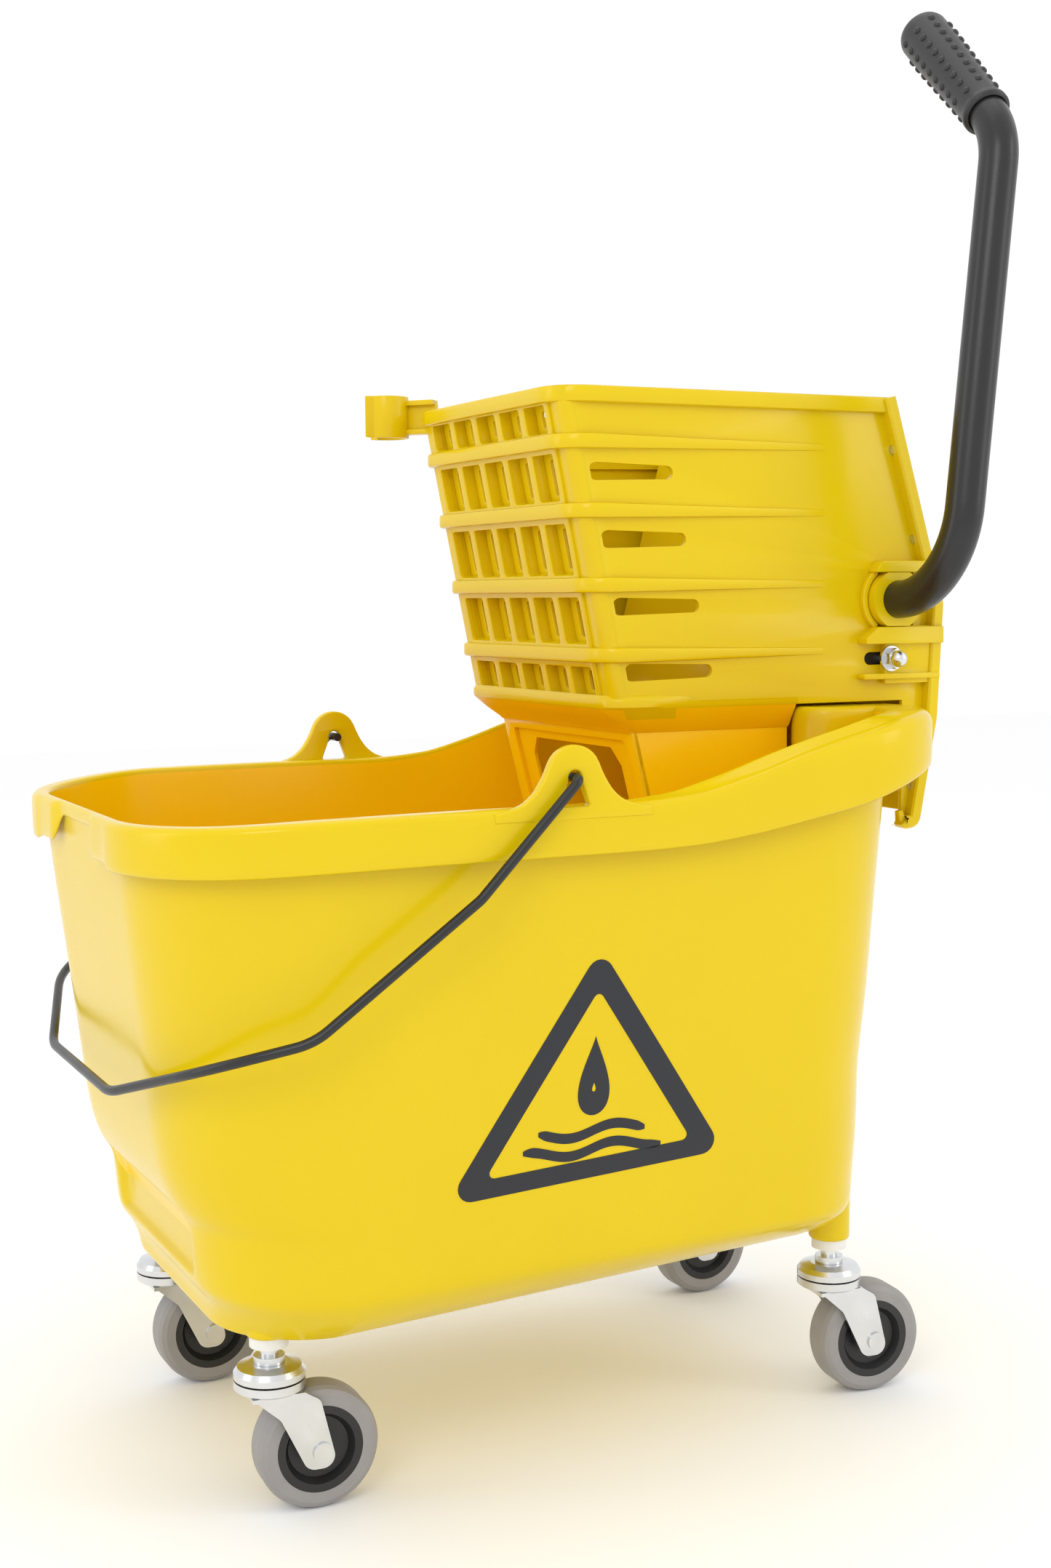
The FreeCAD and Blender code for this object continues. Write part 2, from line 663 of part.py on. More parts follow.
def guide_rail(s):
    web = box(322, 481, min(s * 101.2, s * 106.0), max(s * 101.2, s * 106.0), arm_low - 4, arm_top + 4)
    low = box(322, 481, min(s * 94.5, s * 106.0), max(s * 94.5, s * 106.0), arm_low - 4, arm_low - 0.6)
    high = box(322, 481, min(s * 94.5, s * 106.0), max(s * 94.5, s * 106.0), arm_top + 0.6, arm_top + 4)
    rail = fuse_all([web, low, high])
    for x in (guide_x, 340.0):
        rail = rail.cut(cyl((x, s * 90, guide_z), (0, s, 0), 4.0, 30))
        rail = rail.cut(cyl((x, s * 90, guide_z), (0, s, 0), 6.9, 14.2))
    return rail


def guide_bolts():
    bolts = []
    for s in (-1, 1):
        shank = cyl((guide_x, s * 102.0, guide_z), (0, s, 0), 3.98, 26.0)
        head = cyl((guide_x, s * 102.0, guide_z), (0, s, 0), 6.5, 2.0)
        bolts.append(shank.fuse(head).removeSplitter())
    return Part.makeCompound(bolts)


def guide_washers():
    return Part.makeCompound([ring((guide_x, s * 116.0, guide_z), (0, s, 0), 8.6, 4.1, 1.6) for s in (-1, 1)])


def acorn_nuts():
    nuts = []
    for s in (-1, 1):
        hexagon = []
        for i in range(6):
            a = math.radians(60 * i + 30)
            hexagon.append(V(guide_x + 7.2 * math.cos(a), s * 117.6, guide_z + 7.2 * math.sin(a)))
        prism = Part.Face(Part.makePolygon(hexagon + hexagon[:1])).extrude(V(0, s * 6.0, 0))
        collar = cyl((guide_x, s * 117.6, guide_z), (0, s, 0), 5.8, 8.0)
        dome = Part.makeSphere(5.8, V(guide_x, s * 125.6, guide_z))
        nut = fuse_all([prism, collar, dome])
        nuts.append(nut.cut(cyl((guide_x, s * 110, guide_z), (0, s, 0), 4.0, 18.2)))
    return Part.makeCompound(nuts)


clip_x = 182.5
clip_y = 130.5
clip_low = 667.0
clip_high = 697.0
clip_bore = 12.8


def mop_clip():
    """Spring C-clip for the mop's handle, moulded on a gusset at the front far corner."""
    body = ring((clip_x, clip_y, clip_low), (0, 0, 1), clip_bore + 3.4, clip_bore, clip_high - clip_low)
    mouth = Part.Face(Part.makePolygon([V(clip_x, clip_y, clip_low - 1), V(clip_x - 40, clip_y - 4, clip_low - 1),
                                        V(clip_x - 22, clip_y + 40, clip_low - 1),
                                        V(clip_x, clip_y, clip_low - 1)])).extrude(V(0, 0, 40))
    body = body.cut(mouth)
    gusset = Part.Face(Part.makePolygon([V(clip_x + 8, clip_y - 12.6, clip_low + 6), V(clip_x + 15.6, clip_y - 2, clip_low + 6),
                                         V(212, 112, clip_low + 6), V(205, 104, clip_low + 6),
                                         V(clip_x + 8, clip_y - 12.6, clip_low + 6)])).extrude(V(0, 0, 11.4))
    gusset = gusset.cut(cyl((clip_x, clip_y, clip_low), (0, 0, 1), clip_bore + 1, 40))
    return body.fuse(gusset).removeSplitter()


# ---------------------------------------------------------------- write the nodes
def write(name, shape):
    moved = shape.copy()
    moved.translate(V(-centre_x, 0, 0))
    valid = moved.isValid()
    count = len(moved.Solids)
    bb = moved.BoundBox
    print(f"{name:26s} valid {valid} solids {count} volume {moved.Volume / 1000:9.1f} cm3 "
          f"x {bb.XMin:.1f}..{bb.XMax:.1f} y {bb.YMin:.1f}..{bb.YMax:.1f} z {bb.ZMin:.1f}..{bb.ZMax:.1f}")
    moved.exportStep(f"parts/{name}.step")


os.makedirs("parts", exist_ok=True)
write("bucket_shell", bucket_shell())
write("bail_handle", bail_handle())
for place, (x, y, turn) in caster_places.items():
    for piece, make in caster_pieces.items():
        shape = make()
        shape.rotate(V(0, 0, 0), V(0, 0, 1), turn)
        shape.translate(V(x, y, 0))
        write(f"{piece}_{place}", shape)

hopper = fuse_all([wringer_body(), mop_clip()])
write("wringer_body", hopper)
write("rear_cover", rear_cover())
write("cover_screws", cover_screws())
write("lever_tube", lever_tube())
write("lever_grip", lever_grip())
write("shaft_cap", shaft_cap())
write("press_plate", press_plate())
write("guide_bolts", guide_bolts())
write("guide_washers", guide_washers())
write("acorn_nuts", acorn_nuts())
for side, s in (("near", -1), ("far", 1)):
    write(f"lever_bush_{side}", lever_bush(s))
    write(f"crank_arm_{side}", crank_arm(s))
    write(f"crank_roller_{side}", crank_roller(s))
    write(f"crank_pin_{side}", crank_pin(s))
    write(f"press_track_{side}", press_track(s))
    write(f"slide_arm_{side}", slide_arm(s))
    write(f"guide_rail_{side}", guide_rail(s))
print("press travel", round(press_travel, 2), "per radian", round(press_travel / crank_swing, 3))
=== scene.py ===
import math

import bmesh
import bpy
from mathutils import Matrix, Vector


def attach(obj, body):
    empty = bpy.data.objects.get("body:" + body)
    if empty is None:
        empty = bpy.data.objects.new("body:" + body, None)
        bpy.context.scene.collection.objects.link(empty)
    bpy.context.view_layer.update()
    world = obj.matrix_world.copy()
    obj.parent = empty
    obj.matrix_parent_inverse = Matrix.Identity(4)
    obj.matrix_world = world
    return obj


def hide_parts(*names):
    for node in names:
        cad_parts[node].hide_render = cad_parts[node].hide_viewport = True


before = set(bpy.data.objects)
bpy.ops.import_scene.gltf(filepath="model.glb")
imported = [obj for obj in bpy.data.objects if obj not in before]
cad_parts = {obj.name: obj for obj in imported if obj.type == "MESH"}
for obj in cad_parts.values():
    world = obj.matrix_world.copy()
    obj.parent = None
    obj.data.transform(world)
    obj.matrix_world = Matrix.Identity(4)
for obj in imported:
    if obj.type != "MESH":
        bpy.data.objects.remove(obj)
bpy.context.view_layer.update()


# ---------------------------------------------------------------- bucket moulding
# The tub: one injection-moulded shell of yellow polypropylene, about 4 mm thick, with a deep rolled
# rim, a pouring spout at the front, a dip at the back for the wringer and four moulded caster posts.

mid_x = 209.65              # the frame's origin, in millimetres behind the front caster stems


def place(x, y, z):
    """A point in millimetres, measured from the front caster stems, as a point of the frame."""
    return Vector(((x - mid_x) / 1000, y / 1000, z / 1000))


def smooth_step(a, b, v):
    """0 at a, 1 at b, with an eased rise between."""
    t = min(1.0, max(0.0, (v - a) / (b - a)))
    return t * t * (3 - 2 * t)


def along(points, v):
    """Smooth curve through (place, value) pairs, read at v."""
    n = len(points)
    if v <= points[0][0]:
        return points[0][1]
    if v >= points[-1][0]:
        return points[-1][1]
    i = max(k for k in range(n - 1) if points[k][0] <= v)
    x0, y0 = points[i]
    x1, y1 = points[i + 1]
    slope = (y1 - y0) / (x1 - x0)
    before = slope if i == 0 else (y0 - points[i - 1][1]) / (x0 - points[i - 1][0])
    after = slope if i + 2 >= n else (points[i + 2][1] - y1) / (points[i + 2][0] - x1)
    m0 = 0.0 if before * slope <= 0 else 2 * before * slope / (before + slope)
    m1 = 0.0 if after * slope <= 0 else 2 * after * slope / (after + slope)
    h = x1 - x0
    t = (v - x0) / h
    return (y0 * (1 + 2 * t) * (1 - t) ** 2 + m0 * h * t * (1 - t) ** 2
            + y1 * t * t * (3 - 2 * t) + m1 * h * t * t * (t - 1))


def outline(front, rear, half_front, half_rear, r_front, r_rear, counts=(28, 20, 70, 16, 20)):
    """Plan of the tub at one height: a trapezoid with rounded corners, as a loop of (x, y)."""
    lean = math.atan2(half_front - half_rear, rear - front)
    n_front, n_corner, n_side, n_back, n_rear = counts
    cf = (front + r_front, half_front - r_front * math.tan(math.pi / 4 + lean / 2))
    cr = (rear - r_rear, half_rear + (r_rear * math.tan(lean)) - r_rear / math.cos(lean))
    half = []
    for i in range(n_front // 2):
        half.append((front, cf[1] * (2 * i + 1) / n_front))
    for i in range(n_corner + 1):
        a = math.pi - (math.pi / 2 - lean) * i / n_corner
        half.append((cf[0] + r_front * math.cos(a), cf[1] + r_front * math.sin(a)))
    start = half[-1]
    end = (cr[0] + r_rear * math.sin(lean), cr[1] + r_rear * math.cos(lean))
    for i in range(1, n_side):
        t = i / n_side
        half.append((start[0] + (end[0] - start[0]) * t, start[1] + (end[1] - start[1]) * t))
    for i in range(n_back + 1):
        a = math.pi / 2 - lean - (math.pi / 2 - lean) * i / n_back
        half.append((cr[0] + r_rear * math.cos(a), cr[1] + r_rear * math.sin(a)))
    for i in range(n_rear // 2):
        half.append((rear, cr[1] * (n_rear - 1 - 2 * i) / n_rear))
    return half + [(x, -y) for x, y in reversed(half)]


# height, front x, rear x, half widths at the front and rear, corner radii at the front and rear
tub_levels = [
    (111.0, -26.0, 418.0, 146.0, 96.0, 66.0, 36.0),
    (113.0, -26.5, 419.0, 148.5, 99.0, 68.0, 38.0),
    (120.0, -27.0, 419.5, 156.0, 117.0, 72.0, 46.0),
    (130.0, -30.5, 420.0, 162.5, 139.0, 76.0, 56.0),
    (139.0, -36.5, 420.2, 166.6, 154.0, 79.0, 64.0),
    (147.0, -38.2, 420.3, 167.8, 159.3, 81.0, 66.5),
    (160.0, -39.7, 420.4, 169.0, 161.5, 84.0, 68.0),
    (177.0, -41.8, 421.0, 170.7, 163.6, 87.5, 69.0),
    (189.0, -48.6, 421.5, 171.8, 165.0, 90.0, 70.0),
    (200.0, -53.5, 421.3, 172.8, 166.6, 93.0, 70.5),
    (213.0, -57.0, 421.0, 174.0, 168.0, 95.0, 71.0),
    (240.0, -61.0, 420.0, 176.0, 171.0, 99.0, 72.0),
    (285.0, -65.5, 423.0, 179.8, 176.0, 100.5, 72.8),
    (332.0, -70.9, 424.2, 183.6, 180.8, 102.0, 73.4),
    (400.0, -78.3, 426.5, 189.0, 187.0, 104.0, 74.0),
    (486.0, -85.0, 431.0, 195.0, 194.0, 106.0, 75.0),
]


tub_cache = {}


def tub_plan(z, inset=0.0):
    """The tub's outline at one height, drawn in by inset."""
    key = (round(z, 1), round(inset, 2))
    if key not in tub_cache:
        v = [along([(level[0], level[k]) for level in tub_levels], key[0]) for k in range(1, 7)]
        tub_cache[key] = outline(v[0] + inset, v[1] - inset, *[w - inset for w in v[2:]])
    return tub_cache[key]


rim_tops = [(-130, 423), (-60, 426.5), (20, 430.5), (120, 431), (200, 431), (245, 434), (285, 443),
            (328, 456), (370, 467), (412, 475.5), (445, 478), (480, 478)]
rim_lows = [(-130, 394), (-60, 397), (20, 400.5), (120, 401), (200, 401), (242, 402), (284, 406),
            (328, 413), (370, 421), (404, 431), (440, 440), (480, 444)]


def rim_top(x, y):
    """Height of the rim's top, which dips at the back for the wringer."""
    dip = smooth_step(400, 432, x) * (1 - smooth_step(58, 88, abs(y)))
    return along(rim_tops, x) - 15.0 * dip


def in_spout(x, y):
    """1 across the pouring front, where the rolled band stops and a thin lip runs on."""
    gap = 0.85 * (1 - smooth_step(42, 48, abs(y))) + 0.15 * (1 - smooth_step(84, 90, abs(y)))
    return gap if x < 30 else 0.0


def rim_low(x, y):
    """Height of the lower edge of the rim's outer band."""
    top = rim_top(x, y)
    low = along(rim_lows, x)
    return low + (top - 9.0 - low) * in_spout(x, y)


rim_plan = outline(-87.0, 462.0, 203.0, 202.0, 112.0, 84.0)
rim_inner_plan = outline(-83.8, 458.8, 199.8, 198.8, 108.8, 80.8)


def rim_point(i, plan):
    """Point i of the band's outline, pulled back to the wall where the spout has no band."""
    x, y = plan[i]
    inside = in_spout(*rim_plan[i])
    if inside > 0:
        wall_x, wall_y = tub_plan(rim_top(*rim_plan[i]) - 5, -2.2 if plan is rim_plan else -0.8)[i]
        x += (wall_x - x) * inside
        y += (wall_y - y) * inside
    return x, y


# heights of the rows up the outer wall
wall_steps = [111, 111.6, 113, 116, 120, 125, 130, 135, 139, 141.5, 143.5, 145, 147, 153, 160, 170, 178,
              181.5, 184, 186.5, 190, 196, 204, 213, 226, 240, 262, 290, 320, 350, 372]


floor_mid_x = 200.0
under_z = 111.4
floor_z = 116.0
wall = 4.0


def tub_rows():
    """Rows of points from the middle of the underside, round the rim, and down inside to the floor."""
    rows = []
    bottom = tub_plan(111.0)
    for k in (0.0, 0.35, 0.7, 0.93):
        rows.append([(floor_mid_x + (x - floor_mid_x) * k, y * k, under_z) for x, y in bottom])
    for z in wall_steps:
        inset = 1.2 if z == 111 else 0.3 if z == 111.6 else 0.0
        rows.append([front_grip(x, y, z) for x, y in tub_plan(z, inset)])
    for drop in (14, 7.5):
        row = []
        for i, corner_point in enumerate(rim_plan):
            z = rim_top(*corner_point) - drop
            row.append((*tub_plan(z)[i], z))
        rows.append(row)
    for plan, where in ((rim_inner_plan, "under"), (rim_inner_plan, "lip"), (rim_plan, "lip_low"),
                        (rim_plan, "lip_out")):
        row = []
        for i in range(len(plan)):
            x, y = rim_point(i, plan)
            top = rim_top(*rim_plan[i])
            low = rim_low(*rim_plan[i])
            if where == "under":
                z = top - 7.0
            elif where == "lip":
                z = min(low + 0.6, top - 7.1)
            elif where == "lip_low":
                z = min(low, top - 7.6)
                x, y = x + (170 - x) * 0.004, y - y * 0.004
            else:
                z = min(low + 1.6, top - 6.4)
            row.append((x, y, z))
        rows.append(row)
    for k in range(7):
        a = math.pi / 2 * k / 6
        row = []
        for i in range(len(rim_plan)):
            top = rim_top(*rim_plan[i])
            x, y = rim_point(i, rim_plan)
            r = 5.0 + 5.0 * smooth_step(300, 420, x) - 2.5 * in_spout(*rim_plan[i])
            nx, ny = plan_normal(i)
            inward = r * (1 - math.cos(a))
            row.append((x - nx * inward, y - ny * inward, top - r * (1 - math.sin(a))))
        rows.append(row)
    for inset, drop in ((1.6, 0.0), (2.6, 0.3), (3.6, 1.2), (4.0, 3.0), (4.0, 8.0)):
        row = []
        for i, corner_point in enumerate(rim_plan):
            z = rim_top(*corner_point) - drop
            row.append((*tub_plan(z, inset)[i], z))
        rows.append(row)
    for z in (400, 360, 320, 280, 240, 200, 160, 143, 132, 125, 120.5, 117.6, 116.2):
        inset = wall + (0.0 if z > 140 else (140 - z) * 0.12)
        rows.append([front_grip(x, y, z, wall) for x, y in tub_plan(max(z - 3, 115), inset)])
    last = tub_plan(floor_z, 14.0)
    for k in (0.97, 0.7, 0.35, 0.0):
        rows.append([(floor_mid_x + (x - floor_mid_x) * k, y * k, floor_z) for x, y in last])
    return rows


def plan_normal(i):
    """Outward direction of the rim at point i."""
    n = len(rim_plan)
    ax, ay = rim_plan[i - 1]
    bx, by = rim_plan[(i + 1) % n]
    dx, dy = bx - ax, by - ay
    length = math.hypot(dx, dy)
    return -dy / length, dx / length


def front_grip(x, y, z, inside=0.0):
    """The flat panel let into the front of the foot, for tipping the tub with a shoe."""
    if x > 10 or not 140 < z < 192:
        return (x, y, z)
    depth = 1 - smooth_step(79, 84, abs(y))
    depth *= smooth_step(143, 146, z) * (1 - smooth_step(182, 187, z))
    flat = -33.0 - 0.06 * (z - 144) + inside
    return (x + max(0.0, flat - x) * depth, y, z)


def mesh_from_rows(name, rows):
    """Object whose skin runs through closed rows of points."""
    mesh = bpy.data.meshes.new(name)
    bm = bmesh.new()
    grid = []
    for row in rows:
        grid.append([bm.verts.new(place(*p)) for p in row])
    for a, b in zip(grid, grid[1:]):
        n = len(a)
        for i in range(n):
            j = (i + 1) % n
            bm.faces.new((a[i], a[j], b[j], b[i]))
    bmesh.ops.remove_doubles(bm, verts=bm.verts, dist=1e-7)
    bmesh.ops.recalc_face_normals(bm, faces=bm.faces)
    bm.to_mesh(mesh)
    bm.free()
    for face in mesh.polygons:
        face.use_smooth = True
    piece = bpy.data.objects.new(name, mesh)
    bpy.context.scene.collection.objects.link(piece)
    return piece


tub_loops = tub_rows()
inner_rows = 19
inner_start = (len(tub_loops) - inner_rows) * len(tub_loops[0])
tub = mesh_from_rows("bucket_tub", tub_loops)
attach(tub, "bucket")
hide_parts("bucket_shell")


def plastic(name, colour, deep, scuffs=0.5):
    """Glossy moulded polypropylene: a little light passes into it, and it carries faint scuffs."""
    mat = bpy.data.materials.new(name)
    mat.use_nodes = True
    nodes = mat.node_tree.nodes
    links = mat.node_tree.links
    shader = nodes["Principled BSDF"]
    where = nodes.new("ShaderNodeTexCoord")
    cloud = nodes.new("ShaderNodeTexNoise")
    cloud.inputs["Scale"].default_value = 9.0
    cloud.inputs["Detail"].default_value = 4.0
    links.new(where.outputs["Object"], cloud.inputs["Vector"])
    tint = nodes.new("ShaderNodeValToRGB")
    tint.color_ramp.elements[0].position = 0.3
    tint.color_ramp.elements[0].color = (*deep, 1)
    tint.color_ramp.elements[1].position = 0.7
    tint.color_ramp.elements[1].color = (*colour, 1)
    links.new(cloud.outputs["Fac"], tint.inputs["Fac"])
    links.new(tint.outputs["Color"], shader.inputs["Base Color"])
    wipe = nodes.new("ShaderNodeTexNoise")
    wipe.inputs["Scale"].default_value = 40.0
    wipe.inputs["Detail"].default_value = 6.0
    stretch = nodes.new("ShaderNodeMapping")
    stretch.inputs["Scale"].default_value = (1.0, 1.0, 3.0)
    links.new(where.outputs["Object"], stretch.inputs["Vector"])
    links.new(stretch.outputs["Vector"], wipe.inputs["Vector"])
    rough = nodes.new("ShaderNodeMapRange")
    rough.inputs["To Min"].default_value = 0.15
    rough.inputs["To Max"].default_value = 0.15 + 0.28 * scuffs
    links.new(wipe.outputs["Fac"], rough.inputs["Value"])
    links.new(rough.outputs["Result"], shader.inputs["Roughness"])
    peel = nodes.new("ShaderNodeTexNoise")
    peel.inputs["Scale"].default_value = 700.0
    peel.inputs["Detail"].default_value = 2.0
    links.new(where.outputs["Object"], peel.inputs["Vector"])
    sink = nodes.new("ShaderNodeTexNoise")
    sink.inputs["Scale"].default_value = 7.0
    sink.inputs["Detail"].default_value = 1.0
    links.new(where.outputs["Object"], sink.inputs["Vector"])
    fine = nodes.new("ShaderNodeBump")
    fine.inputs["Strength"].default_value = 0.05
    fine.inputs["Distance"].default_value = 0.0003
    links.new(peel.outputs["Fac"], fine.inputs["Height"])
    broad = nodes.new("ShaderNodeBump")
    broad.inputs["Strength"].default_value = 0.05
    broad.inputs["Distance"].default_value = 0.0006
    links.new(sink.outputs["Fac"], broad.inputs["Height"])
    links.new(fine.outputs["Normal"], broad.inputs["Normal"])
    links.new(broad.outputs["Normal"], shader.inputs["Normal"])
    shader.inputs["Subsurface Weight"].default_value = 0.12
    shader.inputs["Subsurface Radius"].default_value = (0.012, 0.006, 0.001)
    shader.inputs["IOR"].default_value = 1.49
    shader.inputs["Specular IOR Level"].default_value = 0.30
    return mat


yellow = plastic("yellow_polypropylene", (0.745, 0.540, 0.002), (0.725, 0.520, 0.002), 0.35)
# A brighter, more orange copy of the same yellow for the faces inside the tub and the chimney: painted glow,
# standing in for light that passes through the walls and bounces round the inside.
yellow_with_painted_glow = plastic("yellow_polypropylene_painted_glow", (0.950, 0.585, 0.001), (0.930, 0.560, 0.001), 0.35)
tub.data.materials.append(yellow)
tub.data.materials.append(yellow_with_painted_glow)
# The tub's inner faces take the copy with painted glow.
for face in tub.data.polygons:
    if face.index >= inner_start:
        face.material_index = 1
soft = tub.modifiers.new("rounding", "SUBSURF")
soft.levels = 1
soft.render_levels = 1


# ---------------------------------------------------------------- posts, lugs and columns
# These belong to the same moulding as the tub: a round post over each caster, the two ears that hold
# the bail, and the columns inside the rear corners that keep the wringer in place.

def arc_corners(points, radii, steps=7):
    """Closed outline through points, each corner rounded by its radius, as a list of (u, v)."""
    loop = []
    n = len(points)
    for i in range(n):
        here = Vector(points[i])
        a = (Vector(points[i - 1]) - here).normalized()
        b = (Vector(points[(i + 1) % n]) - here).normalized()
        r = radii[i]
        if r <= 0:
            loop.append(here)
            continue
        half = a.angle(b) / 2
        start = here + a * (r / math.tan(half))
        end = here + b * (r / math.tan(half))
        centre = here + (a + b).normalized() * (r / math.sin(half))
        sweep = (start - centre).angle_signed(end - centre)
        for k in range(steps + 1):
            turn = Matrix.Rotation(-sweep * k / steps, 2)
            loop.append(centre + turn @ (start - centre))
    return loop


def plate(name, loop, holes, axes, origin, thick, edge=0.6):
    """Moulded plate with holes: an outline in the plane of two axes, with softly rounded edges."""
    curve = bpy.data.curves.new(name, "CURVE")
    curve.dimensions = "2D"
    curve.fill_mode = "BOTH"
    for points in [loop] + holes:
        spline = curve.splines.new("POLY")
        spline.points.add(len(points) - 1)
        for point, (u, v) in zip(spline.points, points):
            point.co = (u / 1000, v / 1000, 0, 1)
        spline.use_cyclic_u = True
    curve.extrude = (thick / 2 - edge) / 1000
    curve.bevel_depth = edge / 1000
    curve.bevel_resolution = 2
    curve.offset = -edge / 1000
    shape = bpy.data.objects.new(name, curve)
    mesh = bpy.data.meshes.new_from_object(shape)
    across, up = (Vector(axis).normalized() for axis in axes)
    frame_of = Matrix((across, up, across.cross(up))).transposed().to_4x4()
    mesh.transform(Matrix.Translation(place(*origin)) @ frame_of)
    bpy.data.objects.remove(shape)
    bpy.data.curves.remove(curve)
    return mesh


def one_piece(name, meshes, crease=38):
    """Joins meshes into one object and shades it smooth up to its creases."""
    bm = bmesh.new()
    for mesh in meshes:
        bm.from_mesh(mesh)
    bmesh.ops.remove_doubles(bm, verts=bm.verts, dist=2e-6)
    bmesh.ops.recalc_face_normals(bm, faces=bm.faces)
    whole = bpy.data.meshes.new(name)
    bm.to_mesh(whole)
    bm.free()
    for face in whole.polygons:
        face.use_smooth = True
    whole.set_sharp_from_angle(angle=math.radians(crease))
    piece = bpy.data.objects.new(name, whole)
    bpy.context.scene.collection.objects.link(piece)
    return piece


def rows_mesh(rows, closed=True, capped=True):
    """Mesh through rows of points, closed round each row and capped at both ends."""
    bm = bmesh.new()
    grid = [[bm.verts.new(place(*p)) for p in row] for row in rows]
    for a, b in zip(grid, grid[1:]):
        n = len(a)
        for i in range(n if closed else n - 1):
            j = (i + 1) % n
            bm.faces.new((a[i], a[j], b[j], b[i]))
    if capped:
        bm.faces.new(grid[0][::-1])
        bm.faces.new(grid[-1])
    bmesh.ops.recalc_face_normals(bm, faces=bm.faces)
    mesh = bpy.data.meshes.new("rows")
    bm.to_mesh(mesh)
    bm.free()
    return mesh


def circle(x, y, r, n=40):
    """Points round a circle."""
    return [(x + r * math.cos(2 * math.pi * i / n), y + r * math.sin(2 * math.pi * i / n))
            for i in range(n)]


def post(x, y):
    """Round caster post that dies away into the tub's wall at its top."""
    steps = [(110.85, 12.6), (111.2, 13.4), (112.0, 13.9), (114, 14.0), (140, 14.2), (158, 14.3), (166, 13.0),
             (171, 9.0)]
    return rows_mesh([[(px, py, z) for px, py in circle(x, y, r)] for z, r in steps])


wheelbase = 405.6
half_track = 110.7
lug_x = 163.0
lug_z = 447.6


def lug(s):
    """Ear with the bail's hole, on flared feet, as deep as the rim is wide."""
    flank = [(12.0, 462.1), (15.0, 458.4), (17.6, 452.5), (21.0, 446.0), (26.0, 439.0), (34.0, 433.0),
             (44.0, 430.0), (52.0, 428.8)]
    half = [(52.0, 423.0)] + [(52.0 - 2.0 * k, along(flank, 52.0 - 2.0 * k)) for k in range(21)]
    loop = [(lug_x - u, v) for u, v in half]
    for k in range(1, 12):
        u = -12.0 + 2.0 * k
        loop.append((lug_x + u, 449.2 + math.sqrt(17.6 * 17.6 - u * u)))
    loop += [(lug_x + u, v) for u, v in reversed(half)]
    hole = [(lug_x + 4.3 * math.cos(a), lug_z + 4.3 * math.sin(a))
            for a in [math.radians(200 - 220 * k / 14) for k in range(15)]]
    hole += [(lug_x + 9.5, 431.8), (lug_x + 8.2, 430.6), (lug_x - 8.2, 430.6), (lug_x - 9.5, 431.8)]
    return plate("lug", loop, [hole], ((1, 0, 0), (0, 0, 1)), (0, s * 200.0, 0), 6.8, 1.4)


column_x = 403
column_y = 108
column_r = 24


def pocket_column(s):
    """Rounded column inside a rear corner; the pair keeps the wringer's chimney from sliding back."""
    rows = []
    for z, k in ((300, 0.0), (400, 0.0), (470, 0.0), (474.5, 0.3), (476.8, 1.2), (477.8, 2.6), (478.0, 5.0),
                 (478.0, 12.0)):
        back = 419.0 + 0.045 * (z - 300)
        r = column_r - k
        loop = []
        for i in range(21):
            a = math.radians(90 + 180 * i / 20)
            loop.append((column_x + r * math.cos(a), s * (column_y + r * math.sin(a))))
        loop += [(back, s * (column_y - r)), (back, s * column_y), (back, s * (column_y + r))]
        rows.append([(x, y, z) for x, y in loop])
    return rows_mesh(rows)


bucket_details = one_piece("bucket_posts_and_lugs",
                           [post(x, y) for x in (0.0, wheelbase) for y in (-half_track, half_track)]
                           + [lug(-1), lug(1), pocket_column(-1), pocket_column(1)])
bucket_details.data.materials.append(yellow)
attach(bucket_details, "bucket")
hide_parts("bucket_shell")


# ---------------------------------------------------------------- floor sign on the bucket's side
# A screen-printed mark in black ink: a triangle with a drop over two waves, which says wet floor
# without words. The ink lies on the near side wall and follows its curve.

ink = bpy.data.materials.new("black_ink")
ink.use_nodes = True
ink_nodes = ink.node_tree.nodes
ink_links = ink.node_tree.links
ink_shader = ink_nodes["Principled BSDF"]
ink_where = ink_nodes.new("ShaderNodeTexCoord")
ink_grain = ink_nodes.new("ShaderNodeTexNoise")
ink_grain.inputs["Scale"].default_value = 900.0
ink_links.new(ink_where.outputs["Object"], ink_grain.inputs["Vector"])
ink_tint = ink_nodes.new("ShaderNodeValToRGB")
ink_tint.color_ramp.elements[0].color = (0.006, 0.007, 0.012, 1)
ink_tint.color_ramp.elements[1].color = (0.013, 0.014, 0.022, 1)
ink_links.new(ink_grain.outputs["Fac"], ink_tint.inputs["Fac"])
ink_links.new(ink_tint.outputs["Color"], ink_shader.inputs["Base Color"])
ink_rough = ink_nodes.new("ShaderNodeMapRange")
ink_rough.inputs["To Min"].default_value = 0.30
ink_rough.inputs["To Max"].default_value = 0.42
ink_links.new(ink_grain.outputs["Fac"], ink_rough.inputs["Value"])
ink_links.new(ink_rough.outputs["Result"], ink_shader.inputs["Roughness"])


ink_face = 0.30
ink_back = 0.02
sign_x = 189


def on_side(x, z, lift):
    """Point on the near side wall at length x and height z, standing off by lift."""
    front, rear, half_front, half_rear = [along([(level[0], level[k]) for level in tub_levels], z)
                                          for k in range(1, 5)]
    return x, -(half_front + (half_rear - half_front) * (x - front) / (rear - front)) - lift, z


def printed(rings):
    """Thin printed film through rings of (x, z) points, with a back and edges of its own."""
    top = [[on_side(x, z, ink_face) for x, z in ring] for ring in rings]
    back = [[on_side(x, z, ink_back) for x, z in ring] for ring in reversed(rings)]
    rows = top + back
    return rows_mesh(rows + [rows[0]], True, False)


